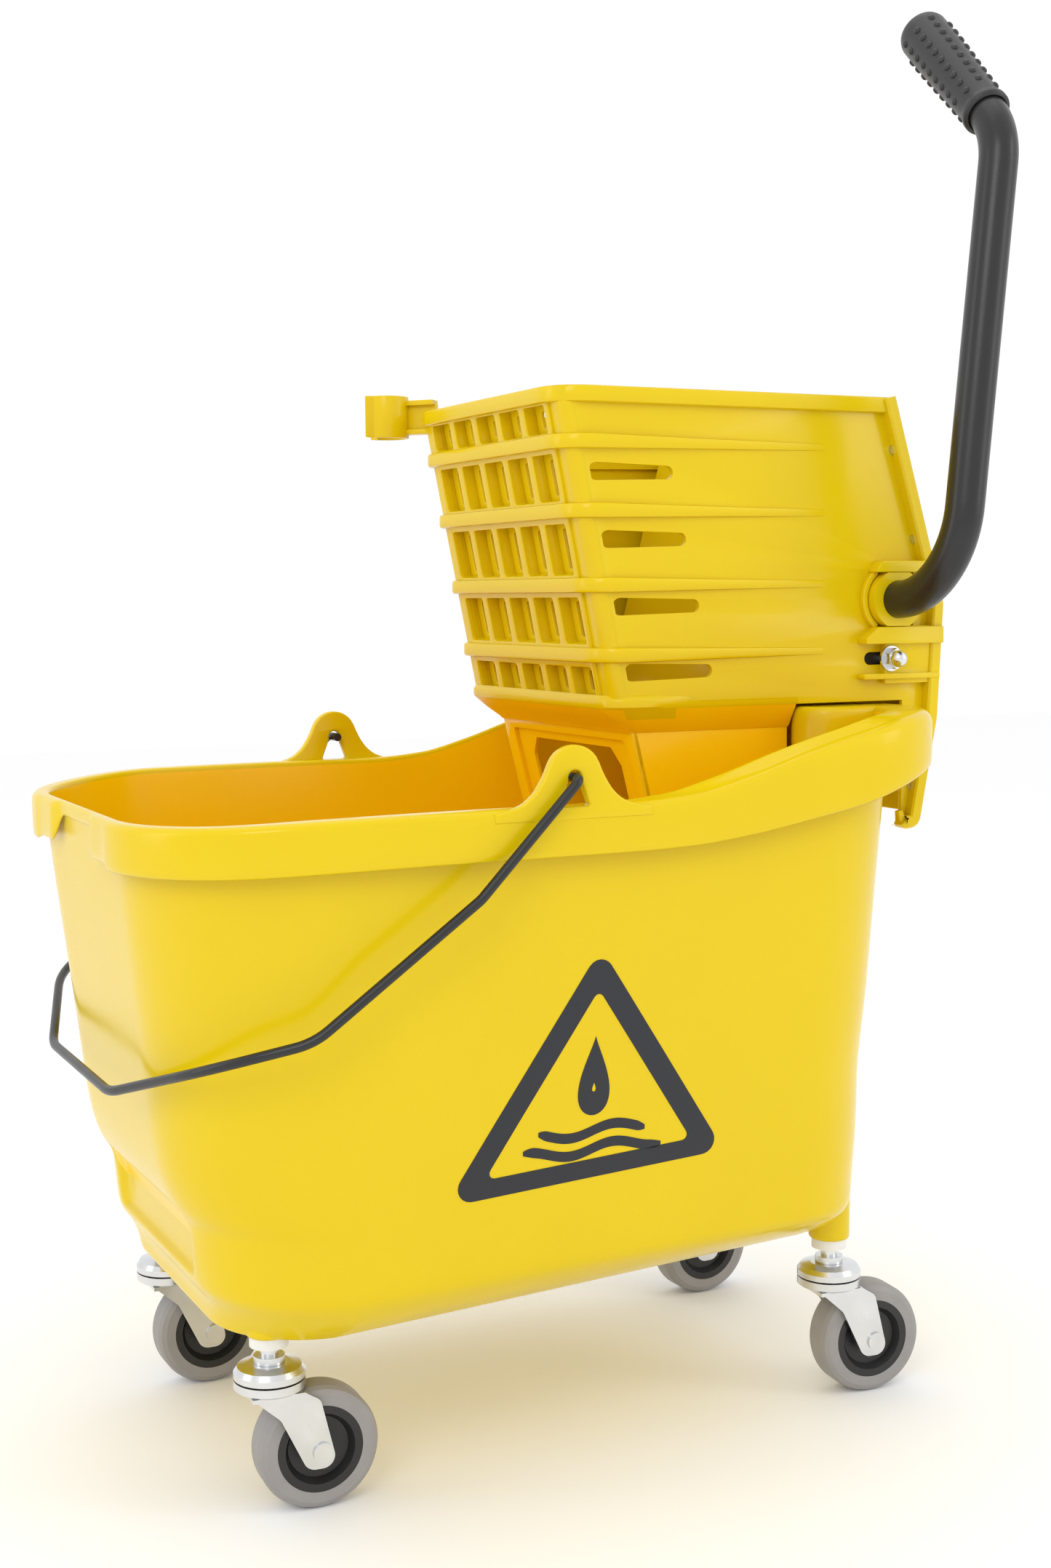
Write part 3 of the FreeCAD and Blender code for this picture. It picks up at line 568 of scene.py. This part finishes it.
def even_loop(points, radii, n):
    """Rounded outline cut into n even steps."""
    loop = arc_corners(points, radii, 8)
    lengths = [0.0]
    for i in range(len(loop)):
        lengths.append(lengths[-1] + (loop[(i + 1) % len(loop)] - loop[i]).length)
    steps = []
    for k in range(n):
        d = lengths[-1] * k / n
        i = max(j for j in range(len(loop)) if lengths[j] <= d)
        t = (d - lengths[i]) / max(1e-9, lengths[i + 1] - lengths[i])
        steps.append(loop[i].lerp(loop[(i + 1) % len(loop)], t))
    return steps


sign_corners = [(190, 342), (91, 192), (285, 202)]
sign_middle = Vector((sign_x, 243))
outer_ring = even_loop(sign_corners, [9, 9, 9], 180)
inner_corners = [sign_middle + (Vector(p) - sign_middle) * 0.74 for p in sign_corners]
inner_ring = even_loop(inner_corners, [3.5, 3.5, 3.5], 180)
band = printed([[a.lerp(b, k / 4) for a, b in zip(outer_ring, inner_ring)] for k in range(5)])
drop_ring = []
for k in range(48):
    a = 2 * math.pi * k / 48
    width = 15.5 * math.sin(a) * math.sin(a / 2) ** 1.5
    drop_ring.append(Vector((sign_x + width, 262 + 25 * math.cos(a))))
drop_middle = Vector((sign_x, 254))
drop = printed([[drop_middle.lerp(p, k) for p in drop_ring] for k in (1.0, 0.7, 0.4, 0.12)])


def wave(z, x0, x1):
    """One printed wave from x0 to x1 at height z, thin at both ends."""
    rows = []
    for k in range(41):
        x = x0 + (x1 - x0) * k / 40
        mid = z + 3.0 * math.sin((x - sign_x) / 9.5)
        ends = 3.2 * min(1.0, math.sin(math.pi * (k + 0.6) / 41.2) * 4) ** 0.5
        rows.append((x, mid, ends))
    rings = []
    for side in (1.0, 0.33, -0.33, -1.0):
        rings.append([(x, mid + side * ends) for x, mid, ends in rows])
    top = [[on_side(x, v, ink_face) for x, v in ring] for ring in rings]
    back = [[on_side(x, v, ink_back) for x, v in ring] for ring in reversed(rings)]
    loops = [[row[k] for row in top + back] for k in range(41)]
    return rows_mesh(loops, True, True)


sign = one_piece("wet_floor_mark", [band, drop, wave(227, 152, 226), wave(215.5, 142, 238)])
sign.data.materials.append(ink)
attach(sign, "bucket")


# ---------------------------------------------------------------- casters
# Four swivel casters: a bright zinc-plated stem, raceway, fork and rivet, a white nylon socket pressed
# into the post, a dished black hub and a grey rubber tyre. Each stem is pushed up into its socket.

def dress(name, mat):
    """Gives a CAD node a material."""
    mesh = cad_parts[name].data
    mesh.materials.clear()
    mesh.materials.append(mat)
    for face in mesh.polygons:
        face.material_index = 0


def finish(name, colour, low, high, metallic=1.0, bump=0.05, scale=60.0):
    """Metal, paint, rubber or plain plastic: mottled colour, uneven gloss and a fine grain."""
    mat = bpy.data.materials.new(name)
    mat.use_nodes = True
    nodes = mat.node_tree.nodes
    links = mat.node_tree.links
    shader = nodes["Principled BSDF"]
    where = nodes.new("ShaderNodeTexCoord")
    grain = nodes.new("ShaderNodeTexNoise")
    grain.inputs["Scale"].default_value = scale
    grain.inputs["Detail"].default_value = 6.0
    links.new(where.outputs["Object"], grain.inputs["Vector"])
    rough = nodes.new("ShaderNodeMapRange")
    rough.inputs["To Min"].default_value = low
    rough.inputs["To Max"].default_value = high
    links.new(grain.outputs["Fac"], rough.inputs["Value"])
    links.new(rough.outputs["Result"], shader.inputs["Roughness"])
    tint = nodes.new("ShaderNodeValToRGB")
    tint.color_ramp.elements[0].color = (*[c * 0.85 for c in colour], 1)
    tint.color_ramp.elements[1].color = (*[min(1, c * 1.1) for c in colour], 1)
    links.new(grain.outputs["Fac"], tint.inputs["Fac"])
    links.new(tint.outputs["Color"], shader.inputs["Base Color"])
    fine = nodes.new("ShaderNodeTexNoise")
    fine.inputs["Scale"].default_value = scale * 14
    links.new(where.outputs["Object"], fine.inputs["Vector"])
    dent = nodes.new("ShaderNodeBump")
    dent.inputs["Strength"].default_value = bump
    dent.inputs["Distance"].default_value = 0.0003
    links.new(fine.outputs["Fac"], dent.inputs["Height"])
    links.new(dent.outputs["Normal"], shader.inputs["Normal"])
    shader.inputs["Metallic"].default_value = metallic
    return mat


zinc = finish("bright_zinc", (0.72, 0.73, 0.74), 0.14, 0.34)
black_plastic = finish("black_moulded_plastic", (0.014, 0.014, 0.015), 0.32, 0.48, 0.0, 0.1)
grey_tread = finish("grey_rubber", (0.30, 0.285, 0.275), 0.48, 0.62, 0.0, 0.1)
white_nylon = finish("white_nylon", (0.80, 0.79, 0.74), 0.32, 0.45, 0.0, 0.05)
caster_finishes = {"caster_stem": zinc, "raceway_cap": zinc, "bearing_balls": zinc, "caster_fork": zinc,
                   "axle_rivet": zinc, "caster_socket": white_nylon, "wheel_hub": black_plastic,
                   "tyre": grey_tread}
for corner_name in ("front_near", "front_far", "rear_near", "rear_far"):
    for caster_part, mat in caster_finishes.items():
        dress(f"{caster_part}_{corner_name}", mat)


# ---------------------------------------------------------------- bail
# The carrying handle: one 6 mm steel wire with a black coat, bent cold into a bow. Its two ends turn
# inwards and are sprung into the holes of the lugs.

black_coat = finish("black_powder_coat", (0.012, 0.012, 0.013), 0.24, 0.36, 0.0, 0.12)
dress("bail_handle", black_coat)


# ---------------------------------------------------------------- wringer moulding
# The hopper: one yellow moulding with a window grid in its leaning front, slotted cheeks, ribs that
# wrap round its front corners, a funnel and a square chimney that stands in the tub.

top_z = 684.5
ledge_z = 479.0
cheek_y = 110.0
lean_run = 41.0 / (top_z - ledge_z)
lean_axis = (-lean_run, 0, 1)


def front_at(z):
    """Where the leaning front is at height z."""
    return 203.0 + lean_run * (top_z - z)


def slot_hole(left, z, length, half_left, half_right):
    """Tapered slot with round ends."""
    loop = []
    for k in range(9):
        a = math.radians(90 + 180 * k / 8)
        loop.append((left + half_left + half_left * math.cos(a), z + half_left * math.sin(a)))
    for k in range(9):
        a = math.radians(-90 + 180 * k / 8)
        loop.append((left + length - half_right + half_right * math.cos(a), z + half_right * math.sin(a)))
    return loop


shaft = (452.0, 549.0)
rear_edge = [(452.0, top_z), (492.5, 546.0), (488.0, 468.0), (474.5, 402.0)]
shaft_hole = [(shaft[0] + 20.4 * math.cos(a), shaft[1] + 20.4 * math.sin(a))
              for a in [math.radians(63 + 234 * k / 24) for k in range(25)]]
shaft_hole = [(x, min(shaft[1] + 18.2, max(shaft[1] - 18.2, z))) for x, z in shaft_hole]
shaft_hole = [(472.0, shaft[1] + 18.2)] + shaft_hole + [(472.0, shaft[1] - 18.2)]
bolt_hole = slot_hole(432.0, 509.0, 24.0, 4.3, 4.3)
side_axes = ((1, 0, 0), (0, 0, 1))


def cheek(s):
    """Side plate with its slots, the lever's way in and the guide bolt's slot."""
    front_low = front_at(484.0) + 5
    loop = arc_corners([(front_at(top_z) + 5, top_z - 1)] + [rear_edge[0]] + rear_edge[1:]
                       + [(463.5, 396.0), (463.5, 480.0), (378.0, 480.0), (378.0, 484.0), (front_low, 484.0)],
                       [0, 3, 16, 30, 9, 5, 0, 0, 0, 0])
    slots = [slot_hole(front_at(z) + 7.5, z, right - front_at(z) - 7.5, 5.6, 4.2)
             for z, right in ((631.2, 282.4), (588.7, 292.2), (546.0, 302.0), (503.7, 311.7))]
    return plate("cheek", loop, slots + [shaft_hole, bolt_hole], side_axes,
                 (0, s * (cheek_y - 2), 0), 4.0, 0.5)


def corner(s):
    """Quarter-round upright between the window grid and a cheek, leaning with the front."""
    rows = []
    for z in (482, 500, 560, 620, 680, 684):
        x = front_at(z)
        outer = [(x + 5 - 8.1 * math.sin(math.radians(a)), 102 + 8.1 * math.cos(math.radians(a)))
                 for a in range(0, 91, 9)]
        inner = [(x + 5 - 4.6 * math.sin(math.radians(a)), 102 + 4.6 * math.cos(math.radians(a)))
                 for a in range(0, 91, 9)]
        loop = [(x + 9, 109.6)] + outer + [(x - 3.1, 88), (x + 0.4, 88)] + inner[::-1] + [(x + 9, 106.6)]
        rows.append([(px, s * py, z) for px, py in loop])
    return rows_mesh(rows)


window_tops = (674.0, 643.5, 599.5, 552.5, 507.5)
window_lows = (656.5, 614.0, 567.0, 522.5, 487.5)


def on_front(z):
    """Distance up the leaning front from the ledge, for a height z."""
    return (z - ledge_z) * math.sqrt(1 + lean_run * lean_run)


def grid_plate(half_window, thick, depth, trim, edge):
    """Front plate with five rows of five windows."""
    holes = []
    for high, low in zip(window_tops, window_lows):
        for column in range(5):
            y = (column - 2) * 37.0
            a, b = on_front(low + trim), on_front(high - trim)
            left, right = y - half_window, y + half_window
            holes.append(arc_corners([(left, a), (left, b), (right, b), (right, a)], [2.2] * 4, 3))
    loop = [(-94, on_front(480)), (94, on_front(480)), (94, on_front(682)), (-94, on_front(682))]
    return plate("grid", loop, holes, ((0, 1, 0), lean_axis),
                 (front_at(ledge_z) + depth, 0, ledge_z), thick, edge)


def wrap(z, height, proud, x_end, fade=True, radius=22.0, taper=0.55, ahead=9.4):
    """Rib or band that runs forward along one cheek, round the front and back along the other."""
    x_front = front_at(z) - ahead
    y_out = cheek_y + proud
    path = []
    steps = 16
    for k in range(steps + 1):
        t = k / steps
        x = x_end + (x_front + radius - x_end) * t
        path.append((x, -y_out, (0, -1), 1.0 - t))
    for k in range(1, 13):
        a = math.radians(90 * k / 12)
        path.append((x_front + radius - radius * math.sin(a), -(y_out - radius) - radius * math.cos(a),
                     (-math.sin(a), -math.cos(a)), 0.0))
    for k in range(1, 9):
        path.append((x_front, -(y_out - radius) * (1 - k / 8), (-1, 0), 0.0))
    path += [(x, -y, (nx, -ny), f) for x, y, (nx, ny), f in reversed(path[:-1])]
    rows = []
    for x, y, (nx, ny), far in path:
        out = proud * (1 - far * 0.93) if fade else proud
        tall = height * (1 - far * taper) if fade else height
        back = proud + 3.0 + 2.4 * (1 - far) * (1 if nx < -0.3 else 0)
        px, py = x - nx * (proud - out), y - ny * (proud - out)
        r = min(1.8, out * 0.6, tall * 0.35)
        row = []
        for u, v in ((-back, -tall / 2), (-r, -tall / 2), (-r * 0.3, -tall / 2 + r * 0.3), (0, -tall / 2 + r),
                     (0, tall / 2 - r), (-r * 0.3, tall / 2 - r * 0.3), (-r, tall / 2), (-back, tall / 2)):
            row.append((px + nx * u, py + ny * u, z + v))
        rows.append(row)
    return rows_mesh(rows)


def ring_plan(x0, x1, half, radius, rear_half, n=10):
    """Plan of the hopper or chimney: square at the rear, rounded by radius at the front."""
    half_loop = [(x1, 0), (x1, rear_half * 0.5), (x1, rear_half)]
    for k in range(1, 13):
        x = x1 + (x0 + radius - x1) * k / 12
        half_loop.append((x, rear_half + (half - rear_half) * smooth_step(300, 262, x)))
    for k in range(1, n + 1):
        a = math.radians(90 * k / n)
        half_loop.append((x0 + radius - radius * math.sin(a), half - radius + radius * math.cos(a)))
    half_loop.append((x0, half * 0.45))
    half_loop.append((x0, 0))
    return half_loop + [(x, -y) for x, y in reversed(half_loop[1:-1])]


def at_height(loop, z):
    """A plan lifted to height z."""
    return [(x, y, z) for x, y in loop]


def funnel():
    """Ledge under the grid and the slopes that lead down to the chimney, hollow inside."""
    outer = [(489, 236.2, 378, 110.0, 18, 109.0), (487, 234.8, 378, 112.0, 18.5, 109.9),
             (485.6, 234.4, 378, 112.8, 19, 109.9), (481.4, 234.8, 378, 112.8, 19, 109.4),
             (479.8, 236.0, 378, 111.4, 18, 108.6), (473.0, 244.5, 378, 106.6, 12, 104.4),
             (466.6, 253.4, 378, 101.4, 8, 100.4), (464.0, 256.0, 378, 98.4, 6, 98.4)]
    inner = [(464.0, 262, 374, 94.6, 4, 94.6), (470, 258.5, 374, 98.5, 7, 98.0),
             (481, 246.5, 374, 106.5, 12, 105.6), (489, 245.5, 374, 106.5, 12, 105.6)]
    rows = [at_height(ring_plan(x0, x1, half, r, rear), z) for z, x0, x1, half, r, rear in outer + inner]
    return rows_mesh(rows + [rows[0]], True, False)


chimney_low = 352
chimney_top = 466
chimney_lean = 28.0 / (chimney_top - chimney_low)


def chimney_front(z):
    """Where the chimney's leaning front is at height z."""
    return 258.0 + (chimney_top - z) * chimney_lean


def chimney():
    """Walls, framed front window and slotted bottom of the chimney."""
    walls = []
    for s in (-1, 1):
        loop = arc_corners([(chimney_front(chimney_top), chimney_top), (378, chimney_top), (378, chimney_low),
                            (chimney_front(chimney_low), chimney_low)], [0, 0, 4, 4])
        walls.append(plate("wall", loop, [], side_axes, (0, s * 96, 0), 4.0, 0.9))
    slope = (-chimney_lean, 0, 1)
    stretch = math.sqrt(1 + chimney_lean ** 2)

    def up(z):
        return (z - chimney_low) * stretch

    pane = arc_corners([(-58, up(400)), (-66, up(408)), (-66, up(440)), (-56, up(452)),
                        (56, up(452)), (66, up(440)), (66, up(408)), (58, up(400))], [2] * 8, 3)
    panel = [(-95, up(353)), (95, up(353)), (95, up(465)), (-95, up(465))]
    frame_hole = arc_corners([(-84, up(356)), (-84, up(458)), (84, up(458)), (84, up(356))], [3] * 4, 3)
    foot_x = chimney_front(chimney_low)
    walls.append(plate("panel", panel, [pane], ((0, 1, 0), slope), (foot_x + 5.0, 0, chimney_low), 3.0, 0.6))
    frame_low, frame_top = up(chimney_low), up(chimney_top)
    frame_loop = [(-98, frame_low), (98, frame_low), (98, frame_top), (-98, frame_top)]
    walls.append(plate("frame", frame_loop, [frame_hole], ((0, 1, 0), slope),
                       (foot_x + 2.2, 0, chimney_low), 4.4, 1.0))
    drain = []
    for i in range(5):
        for j in range(3):
            x, y = 300 + j * 25, -78 + i * 34
            drain.append(arc_corners([(x, y), (x + 16, y), (x + 16, y + 20), (x, y + 20)], [3] * 4, 3))
    floor_loop = arc_corners([(288, -97), (377, -97), (377, 97), (288, 97)], [3] * 4, 3)
    walls.append(plate("drain", floor_loop, drain, ((1, 0, 0), (0, 1, 0)), (0, 0, 354.6), 4.0, 0.8))
    rear = [(-97, 353), (97, 353), (97, 484), (-97, 484)]
    walls.append(plate("rear_wall", rear, [], ((0, 1, 0), (0, 0, 1)), (376, 0, 0), 4.0, 0.6))
    return walls


def rear_shelf():
    """Shelf behind the chimney, open in the middle, and the two feet that sit on the tub's rim."""
    loop = [(376, -108), (481, -108), (481, 108), (376, 108)]
    middle = arc_corners([(386, -84), (470, -84), (470, 84), (386, 84)], [6] * 4, 4)
    shelf = plate("shelf", loop, [middle], ((1, 0, 0), (0, 1, 0)), (0, 0, 482), 4.0, 0.6)
    feet = []
    for s in (-1, 1):
        foot = arc_corners([(384, 464.6), (384, 483), (466, 483), (466, 464.6)], [2] * 4, 3)
        feet.append(plate("foot", foot, [], side_axes, (0, s * 47, 0), 13.6, 0.8))
    return [shelf] + feet


def edge_lip(s):
    """Lip down the rear edge of a cheek and round its tail."""
    line = arc_corners([(446.5, top_z + 8), (446.5, top_z), (488.2, 546.0), (483.8, 468.0), (470.2, 396.8),
                        (462.0, 396.0), (460.5, 404.0)], [0, 4, 16, 30, 4, 1.5, 0], 8)
    line = [p for p in line if p.y <= top_z - 0.5]
    spread = [line[0]]
    for a, b in zip(line, line[1:]):
        n = max(1, int((b - a).length / 12))
        spread += [a.lerp(b, k / n) for k in range(1, n + 1)]
    rows = []
    for i, p in enumerate(spread):
        t = (spread[min(i + 1, len(spread) - 1)] - spread[max(i - 1, 0)]).normalized()
        nx, nz = -t.y, t.x
        end = min(1.0, 0.45 + 0.2 * (len(spread) - 1 - i))
        row = []
        for u, y in ((-4.4, 109.4), (-4.4, 116.6), (-3.2, 117.8), (3.2, 117.8), (4.4, 116.6), (4.4, 109.4)):
            row.append((p.x + nx * u * end, s * (110 + (y - 110) * end), p.y + nz * u * end))
        rows.append(row)
    return rows_mesh(rows)


def boss(s):
    """Thickened seat round the lever's bush, and the stepped shelf that holds the guide's nut."""
    upper = arc_corners([(434, 567.2), (438, 575), (490, 575), (490, 567.2)], [1, 6, 1, 1])
    ring_loop = [(shaft[0] + 24.5 * math.cos(a), shaft[1] + 24.5 * math.sin(a))
                 for a in [math.radians(125 + 110 * k / 16) for k in range(17)]]
    ring_in = [(shaft[0] + 20.6 * math.cos(a), shaft[1] + 20.6 * math.sin(a))
               for a in [math.radians(235 - 110 * k / 16) for k in range(17)]]
    lower = arc_corners([(426, 519), (426, 523), (436, 530.6), (490, 530.6), (490, 519)], [1, 2, 3, 1, 1])
    under = arc_corners([(426, 495), (426, 499), (489, 499), (489, 495)], [1.5, 1.5, 1, 1])
    pad = arc_corners([(445, 492), (445, 531), (490, 531), (490, 492)], [1, 1, 1, 1])
    pad_hole = slot_hole(446.2, 509.0, 12.0, 4.6, 4.6)
    return [plate("upper", upper, [], side_axes, (0, s * 115, 0), 12.0, 0.8),
            plate("seat", ring_loop + ring_in, [], side_axes, (0, s * 112, 0), 5.0, 0.8),
            plate("lower", lower, [], side_axes, (0, s * 115, 0), 12.0, 0.8),
            plate("under", under, [], side_axes, (0, s * 114, 0), 9.0, 0.8),
            plate("pad", pad, [pad_hole], side_axes, (0, s * 112.6, 0), 6.4, 0.5)]


def clip():
    """Spring clip for the mop's handle, with flared mouth, on two webs at the far front corner."""
    x, y = 182.5, 130.5
    loop = []
    for k in range(25):
        a = math.radians(-148 + 248 * k / 24)
        loop.append((x + 16.0 * math.cos(a), y + 16.0 * math.sin(a)))
    flare_high = (x - 4.5, y + 20.5)
    back = []
    for k in range(25):
        a = math.radians(100 - 248 * k / 24)
        back.append((x + 12.9 * math.cos(a), y + 12.9 * math.sin(a)))
    flare_low = (x - 19.5, y - 7.5)
    ring_mesh = plate("ring", loop + [flare_high] + back + [flare_low], [], ((1, 0, 0), (0, 1, 0)),
                      (0, 0, 682), 29.6, 0.5)
    webs = []
    for z in (671.5, 692.0):
        web = [(x + 10, y - 12.2), (x + 15.6, y - 3), (214, 110), (206, 101)]
        webs.append(plate("web", web, [], ((1, 0, 0), (0, 1, 0)), (0, 0, z), 3.6, 0.5))
    brace = [(x + 12.4, y - 9.0), (x + 15.2, y - 5.6), (213, 107), (210, 103.5)]
    webs.append(plate("brace", brace, [], ((1, 0, 0), (0, 1, 0)), (0, 0, 681), 20.0, 0.5))
    return [ring_mesh] + webs


hopper_meshes = [cheek(-1), cheek(1), corner(-1), corner(1)]
hopper_meshes.append(grid_plate(14.6, 9.0, -0.6, 0.0, 0.9))
hopper_meshes.append(grid_plate(7.0, 2.4, 4.8, 3.0, 0.5))
for rib_z in (650.0, 606.8, 559.8, 515.0):
    hopper_meshes.append(wrap(rib_z, 9.6, 5.4, 398.0))
hopper_meshes.append(wrap(679.2, 10.4, 5.2, 452.0, False, 26.0, 0.0, 8.4))
hopper_meshes.append(funnel())
hopper_meshes += chimney() + rear_shelf() + [edge_lip(-1), edge_lip(1)] + boss(-1) + boss(1) + clip()
hopper = one_piece("wringer_hopper", hopper_meshes, 34)
hopper.data.materials.append(yellow)
# The second slot is the brighter copy with painted glow; the funnel and chimney faces low inside the tub take
# it.
hopper.data.materials.append(yellow_with_painted_glow)
for face in hopper.data.polygons:
    spot = face.center
    if spot.z < 0.4835 and place(300, 0, 0).x - 0.06 < spot.x < place(379, 0, 0).x and abs(spot.y) < 0.107:
        face.material_index = 1
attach(hopper, "wringer")
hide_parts("wringer_body")


# ---------------------------------------------------------------- rear cover
# A curved panel of the same yellow plastic closes the back of the hopper between the cheeks. Six
# zinc-plated screws, three through each cheek, hold it.

dress("rear_cover", yellow)
dress("cover_screws", zinc)


# ---------------------------------------------------------------- press and guides
# A ribbed yellow plate squeezes the mop. Its zinc-plated arms slide in two black plastic rails, each
# held to its cheek by a bolt, a washer and an acorn nut, and two steel brackets hold its tracks.

dress("press_plate", yellow)
for name in ("guide_bolts", "guide_washers", "acorn_nuts"):
    dress(name, zinc)
for side in ("near", "far"):
    dress(f"press_track_{side}", zinc)
    dress(f"slide_arm_{side}", zinc)
    dress(f"guide_rail_{side}", black_plastic)


# ---------------------------------------------------------------- lever
# One bent steel tube, powder coated black, turns in two moulded bushes and carries a pair of cranks
# with nylon rollers. A black plastic cap closes its end on the far side.

dress("lever_tube", black_coat)
dress("shaft_cap", black_plastic)
for side in ("near", "far"):
    dress(f"lever_bush_{side}", yellow)
    dress(f"crank_arm_{side}", black_coat)
    dress(f"crank_pin_{side}", zinc)
    dress(f"crank_roller_{side}", white_nylon)


# ---------------------------------------------------------------- lever grip
# A push-on sleeve of charcoal rubber at the lever's end: tapered, with eight rows of shiny nubs, a
# rolled mouth where the tube goes in and a domed closed end.

lean = math.radians(6.0)
grip_turn = math.radians(48.3)
up_lever = Vector((math.sin(lean), 0, math.cos(lean)))
grip_axis = (up_lever * math.cos(grip_turn) + Vector((0, 1, 0)) * math.sin(grip_turn)).normalized()
bend_point = Vector((452.0, -182.5, 549.0)) + up_lever * 301.0
grip_start = bend_point + grip_axis * 21.0
grip_side = Vector((math.cos(lean), 0, -math.sin(lean)))
grip_up = grip_axis.cross(grip_side).normalized()


def round_grip(d, r, n=48):
    """Ring of radius r round the grip's axis, d up from its mouth."""
    return [tuple(grip_start + grip_axis * d + (grip_side * math.cos(2 * math.pi * k / n)
                                                + grip_up * math.sin(2 * math.pi * k / n)) * r)
            for k in range(n)]


def grip_radius(d):
    """The sleeve's radius, which grows over its first 100 mm."""
    return 14.7 + 2.3 * smooth_step(0, 100, d)


sleeve_rows = [(3.0, 12.75), (0.6, 12.9), (0.0, 13.5), (0.3, 15.2), (1.6, 16.0), (4.6, 16.0), (5.8, 15.2),
               (6.6, 14.8)]
sleeve_rows += [(d, grip_radius(d)) for d in (8, 12, 30, 50, 70, 90, 100, 104)]
sleeve_rows += [(106.5, 16.2), (108.4, 14.6), (109.5, 12.2), (110.0, 9.0), (110.0, 3.0)]
grip_meshes = [rows_mesh([round_grip(d, r) for d, r in sleeve_rows])]


def nub(d, turn):
    """One domed nub standing on the sleeve."""
    out = (grip_side * math.cos(turn) + grip_up * math.sin(turn)).normalized()
    across = grip_axis.cross(out).normalized()
    foot = grip_start + grip_axis * d + out * (grip_radius(d) - 0.5)
    rows = []
    for r, h in ((2.7, 0.0), (2.55, 0.9), (2.1, 1.5), (1.3, 1.9), (0.4, 2.05)):
        rows.append([tuple(foot + out * h + (grip_axis * math.cos(2 * math.pi * k / 10)
                                             + across * math.sin(2 * math.pi * k / 10)) * r)
                     for k in range(10)])
    return rows_mesh(rows)


for row in range(8):
    for step in range(9):
        grip_meshes.append(nub(15.0 + 9.7 * step + (4.85 if row % 2 else 0.0), 2 * math.pi * (row + 0.5) / 8))
grip = one_piece("lever_sleeve", grip_meshes, 50)
grip_rubber = finish("grip_rubber", (0.02, 0.02, 0.021), 0.30, 0.46, 0.0, 0.15)
grip.data.materials.append(grip_rubber)
dress("lever_grip", grip_rubber)
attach(grip, "lever")
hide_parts("lever_grip")


# ---------------------------------------------------------------- studio
# A plain pale floor, which isn't part of the object. Four large lamps and a bright even surround
# give soft white light with faint shadows.

floor_mesh = bpy.data.meshes.new("studio_floor")
bm = bmesh.new()
bmesh.ops.create_grid(bm, x_segments=2, y_segments=2, size=6.0)
bm.to_mesh(floor_mesh)
bm.free()
floor = bpy.data.objects.new("studio_floor", floor_mesh)
bpy.context.scene.collection.objects.link(floor)
pale = bpy.data.materials.new("pale_floor")
pale.use_nodes = True
pale.node_tree.nodes["Principled BSDF"].inputs["Base Color"].default_value = (0.96, 0.96, 0.96, 1)
pale.node_tree.nodes["Principled BSDF"].inputs["Roughness"].default_value = 0.9
floor_mesh.materials.append(pale)


def lamp(name, where, size, power):
    """Large soft lamp that faces the middle of the object."""
    data = bpy.data.lights.new(name, "AREA")
    data.shape = "RECTANGLE"
    data.size = size[0]
    data.size_y = size[1]
    data.energy = power
    light = bpy.data.objects.new(name, data)
    light.location = where
    light.rotation_euler = (Vector((0, 0, 0.4)) - Vector(where)).to_track_quat("-Z", "Y").to_euler()
    bpy.context.scene.collection.objects.link(light)


lamp("key_light", (-1.6, -1.9, 1.9), (1.1, 1.1), 12)
lamp("side_light", (1.8, -1.6, 1.2), (0.7, 1.6), 7)
lamp("top_light", (0.0, 0.2, 2.6), (1.8, 1.8), 6)
lamp("front_light", (-2.2, 0.4, 1.0), (0.7, 1.6), 5)
world = bpy.data.worlds.new("studio_air")
world.use_nodes = True
world.node_tree.nodes["Background"].inputs["Color"].default_value = (1, 1, 1, 1)
world.node_tree.nodes["Background"].inputs["Strength"].default_value = 1.02
bpy.context.scene.world = world
bpy.context.scene.view_settings.view_transform = "Standard"


# ---------------------------------------------------------------- camera
# It stands off the near side, ahead of the front casters and a little above the middle of the
# object, with a normal lens, turned towards the object and slightly down.

heading = math.radians(25.80)
pitch = math.radians(5.37)
roll = math.radians(-0.446)
ahead = Vector((math.sin(heading) * math.cos(pitch), math.cos(heading) * math.cos(pitch), -math.sin(pitch)))
right = Vector((math.cos(heading), -math.sin(heading), 0))
above = right.cross(ahead)
right, above = (math.cos(roll) * right + math.sin(roll) * above,
                math.cos(roll) * above - math.sin(roll) * right)
camera_data = bpy.data.cameras.new("camera")
camera_data.sensor_fit = "VERTICAL"
camera_data.sensor_height = 36.0
camera_data.lens = 46.366
camera = bpy.data.objects.new("camera", camera_data)
turn = Matrix((right, above, -ahead)).transposed().to_4x4()
camera.matrix_world = Matrix.Translation(place(-373.4, -1245.7, 554.4)) @ turn
bpy.context.scene.collection.objects.link(camera)
bpy.context.scene.camera = camera
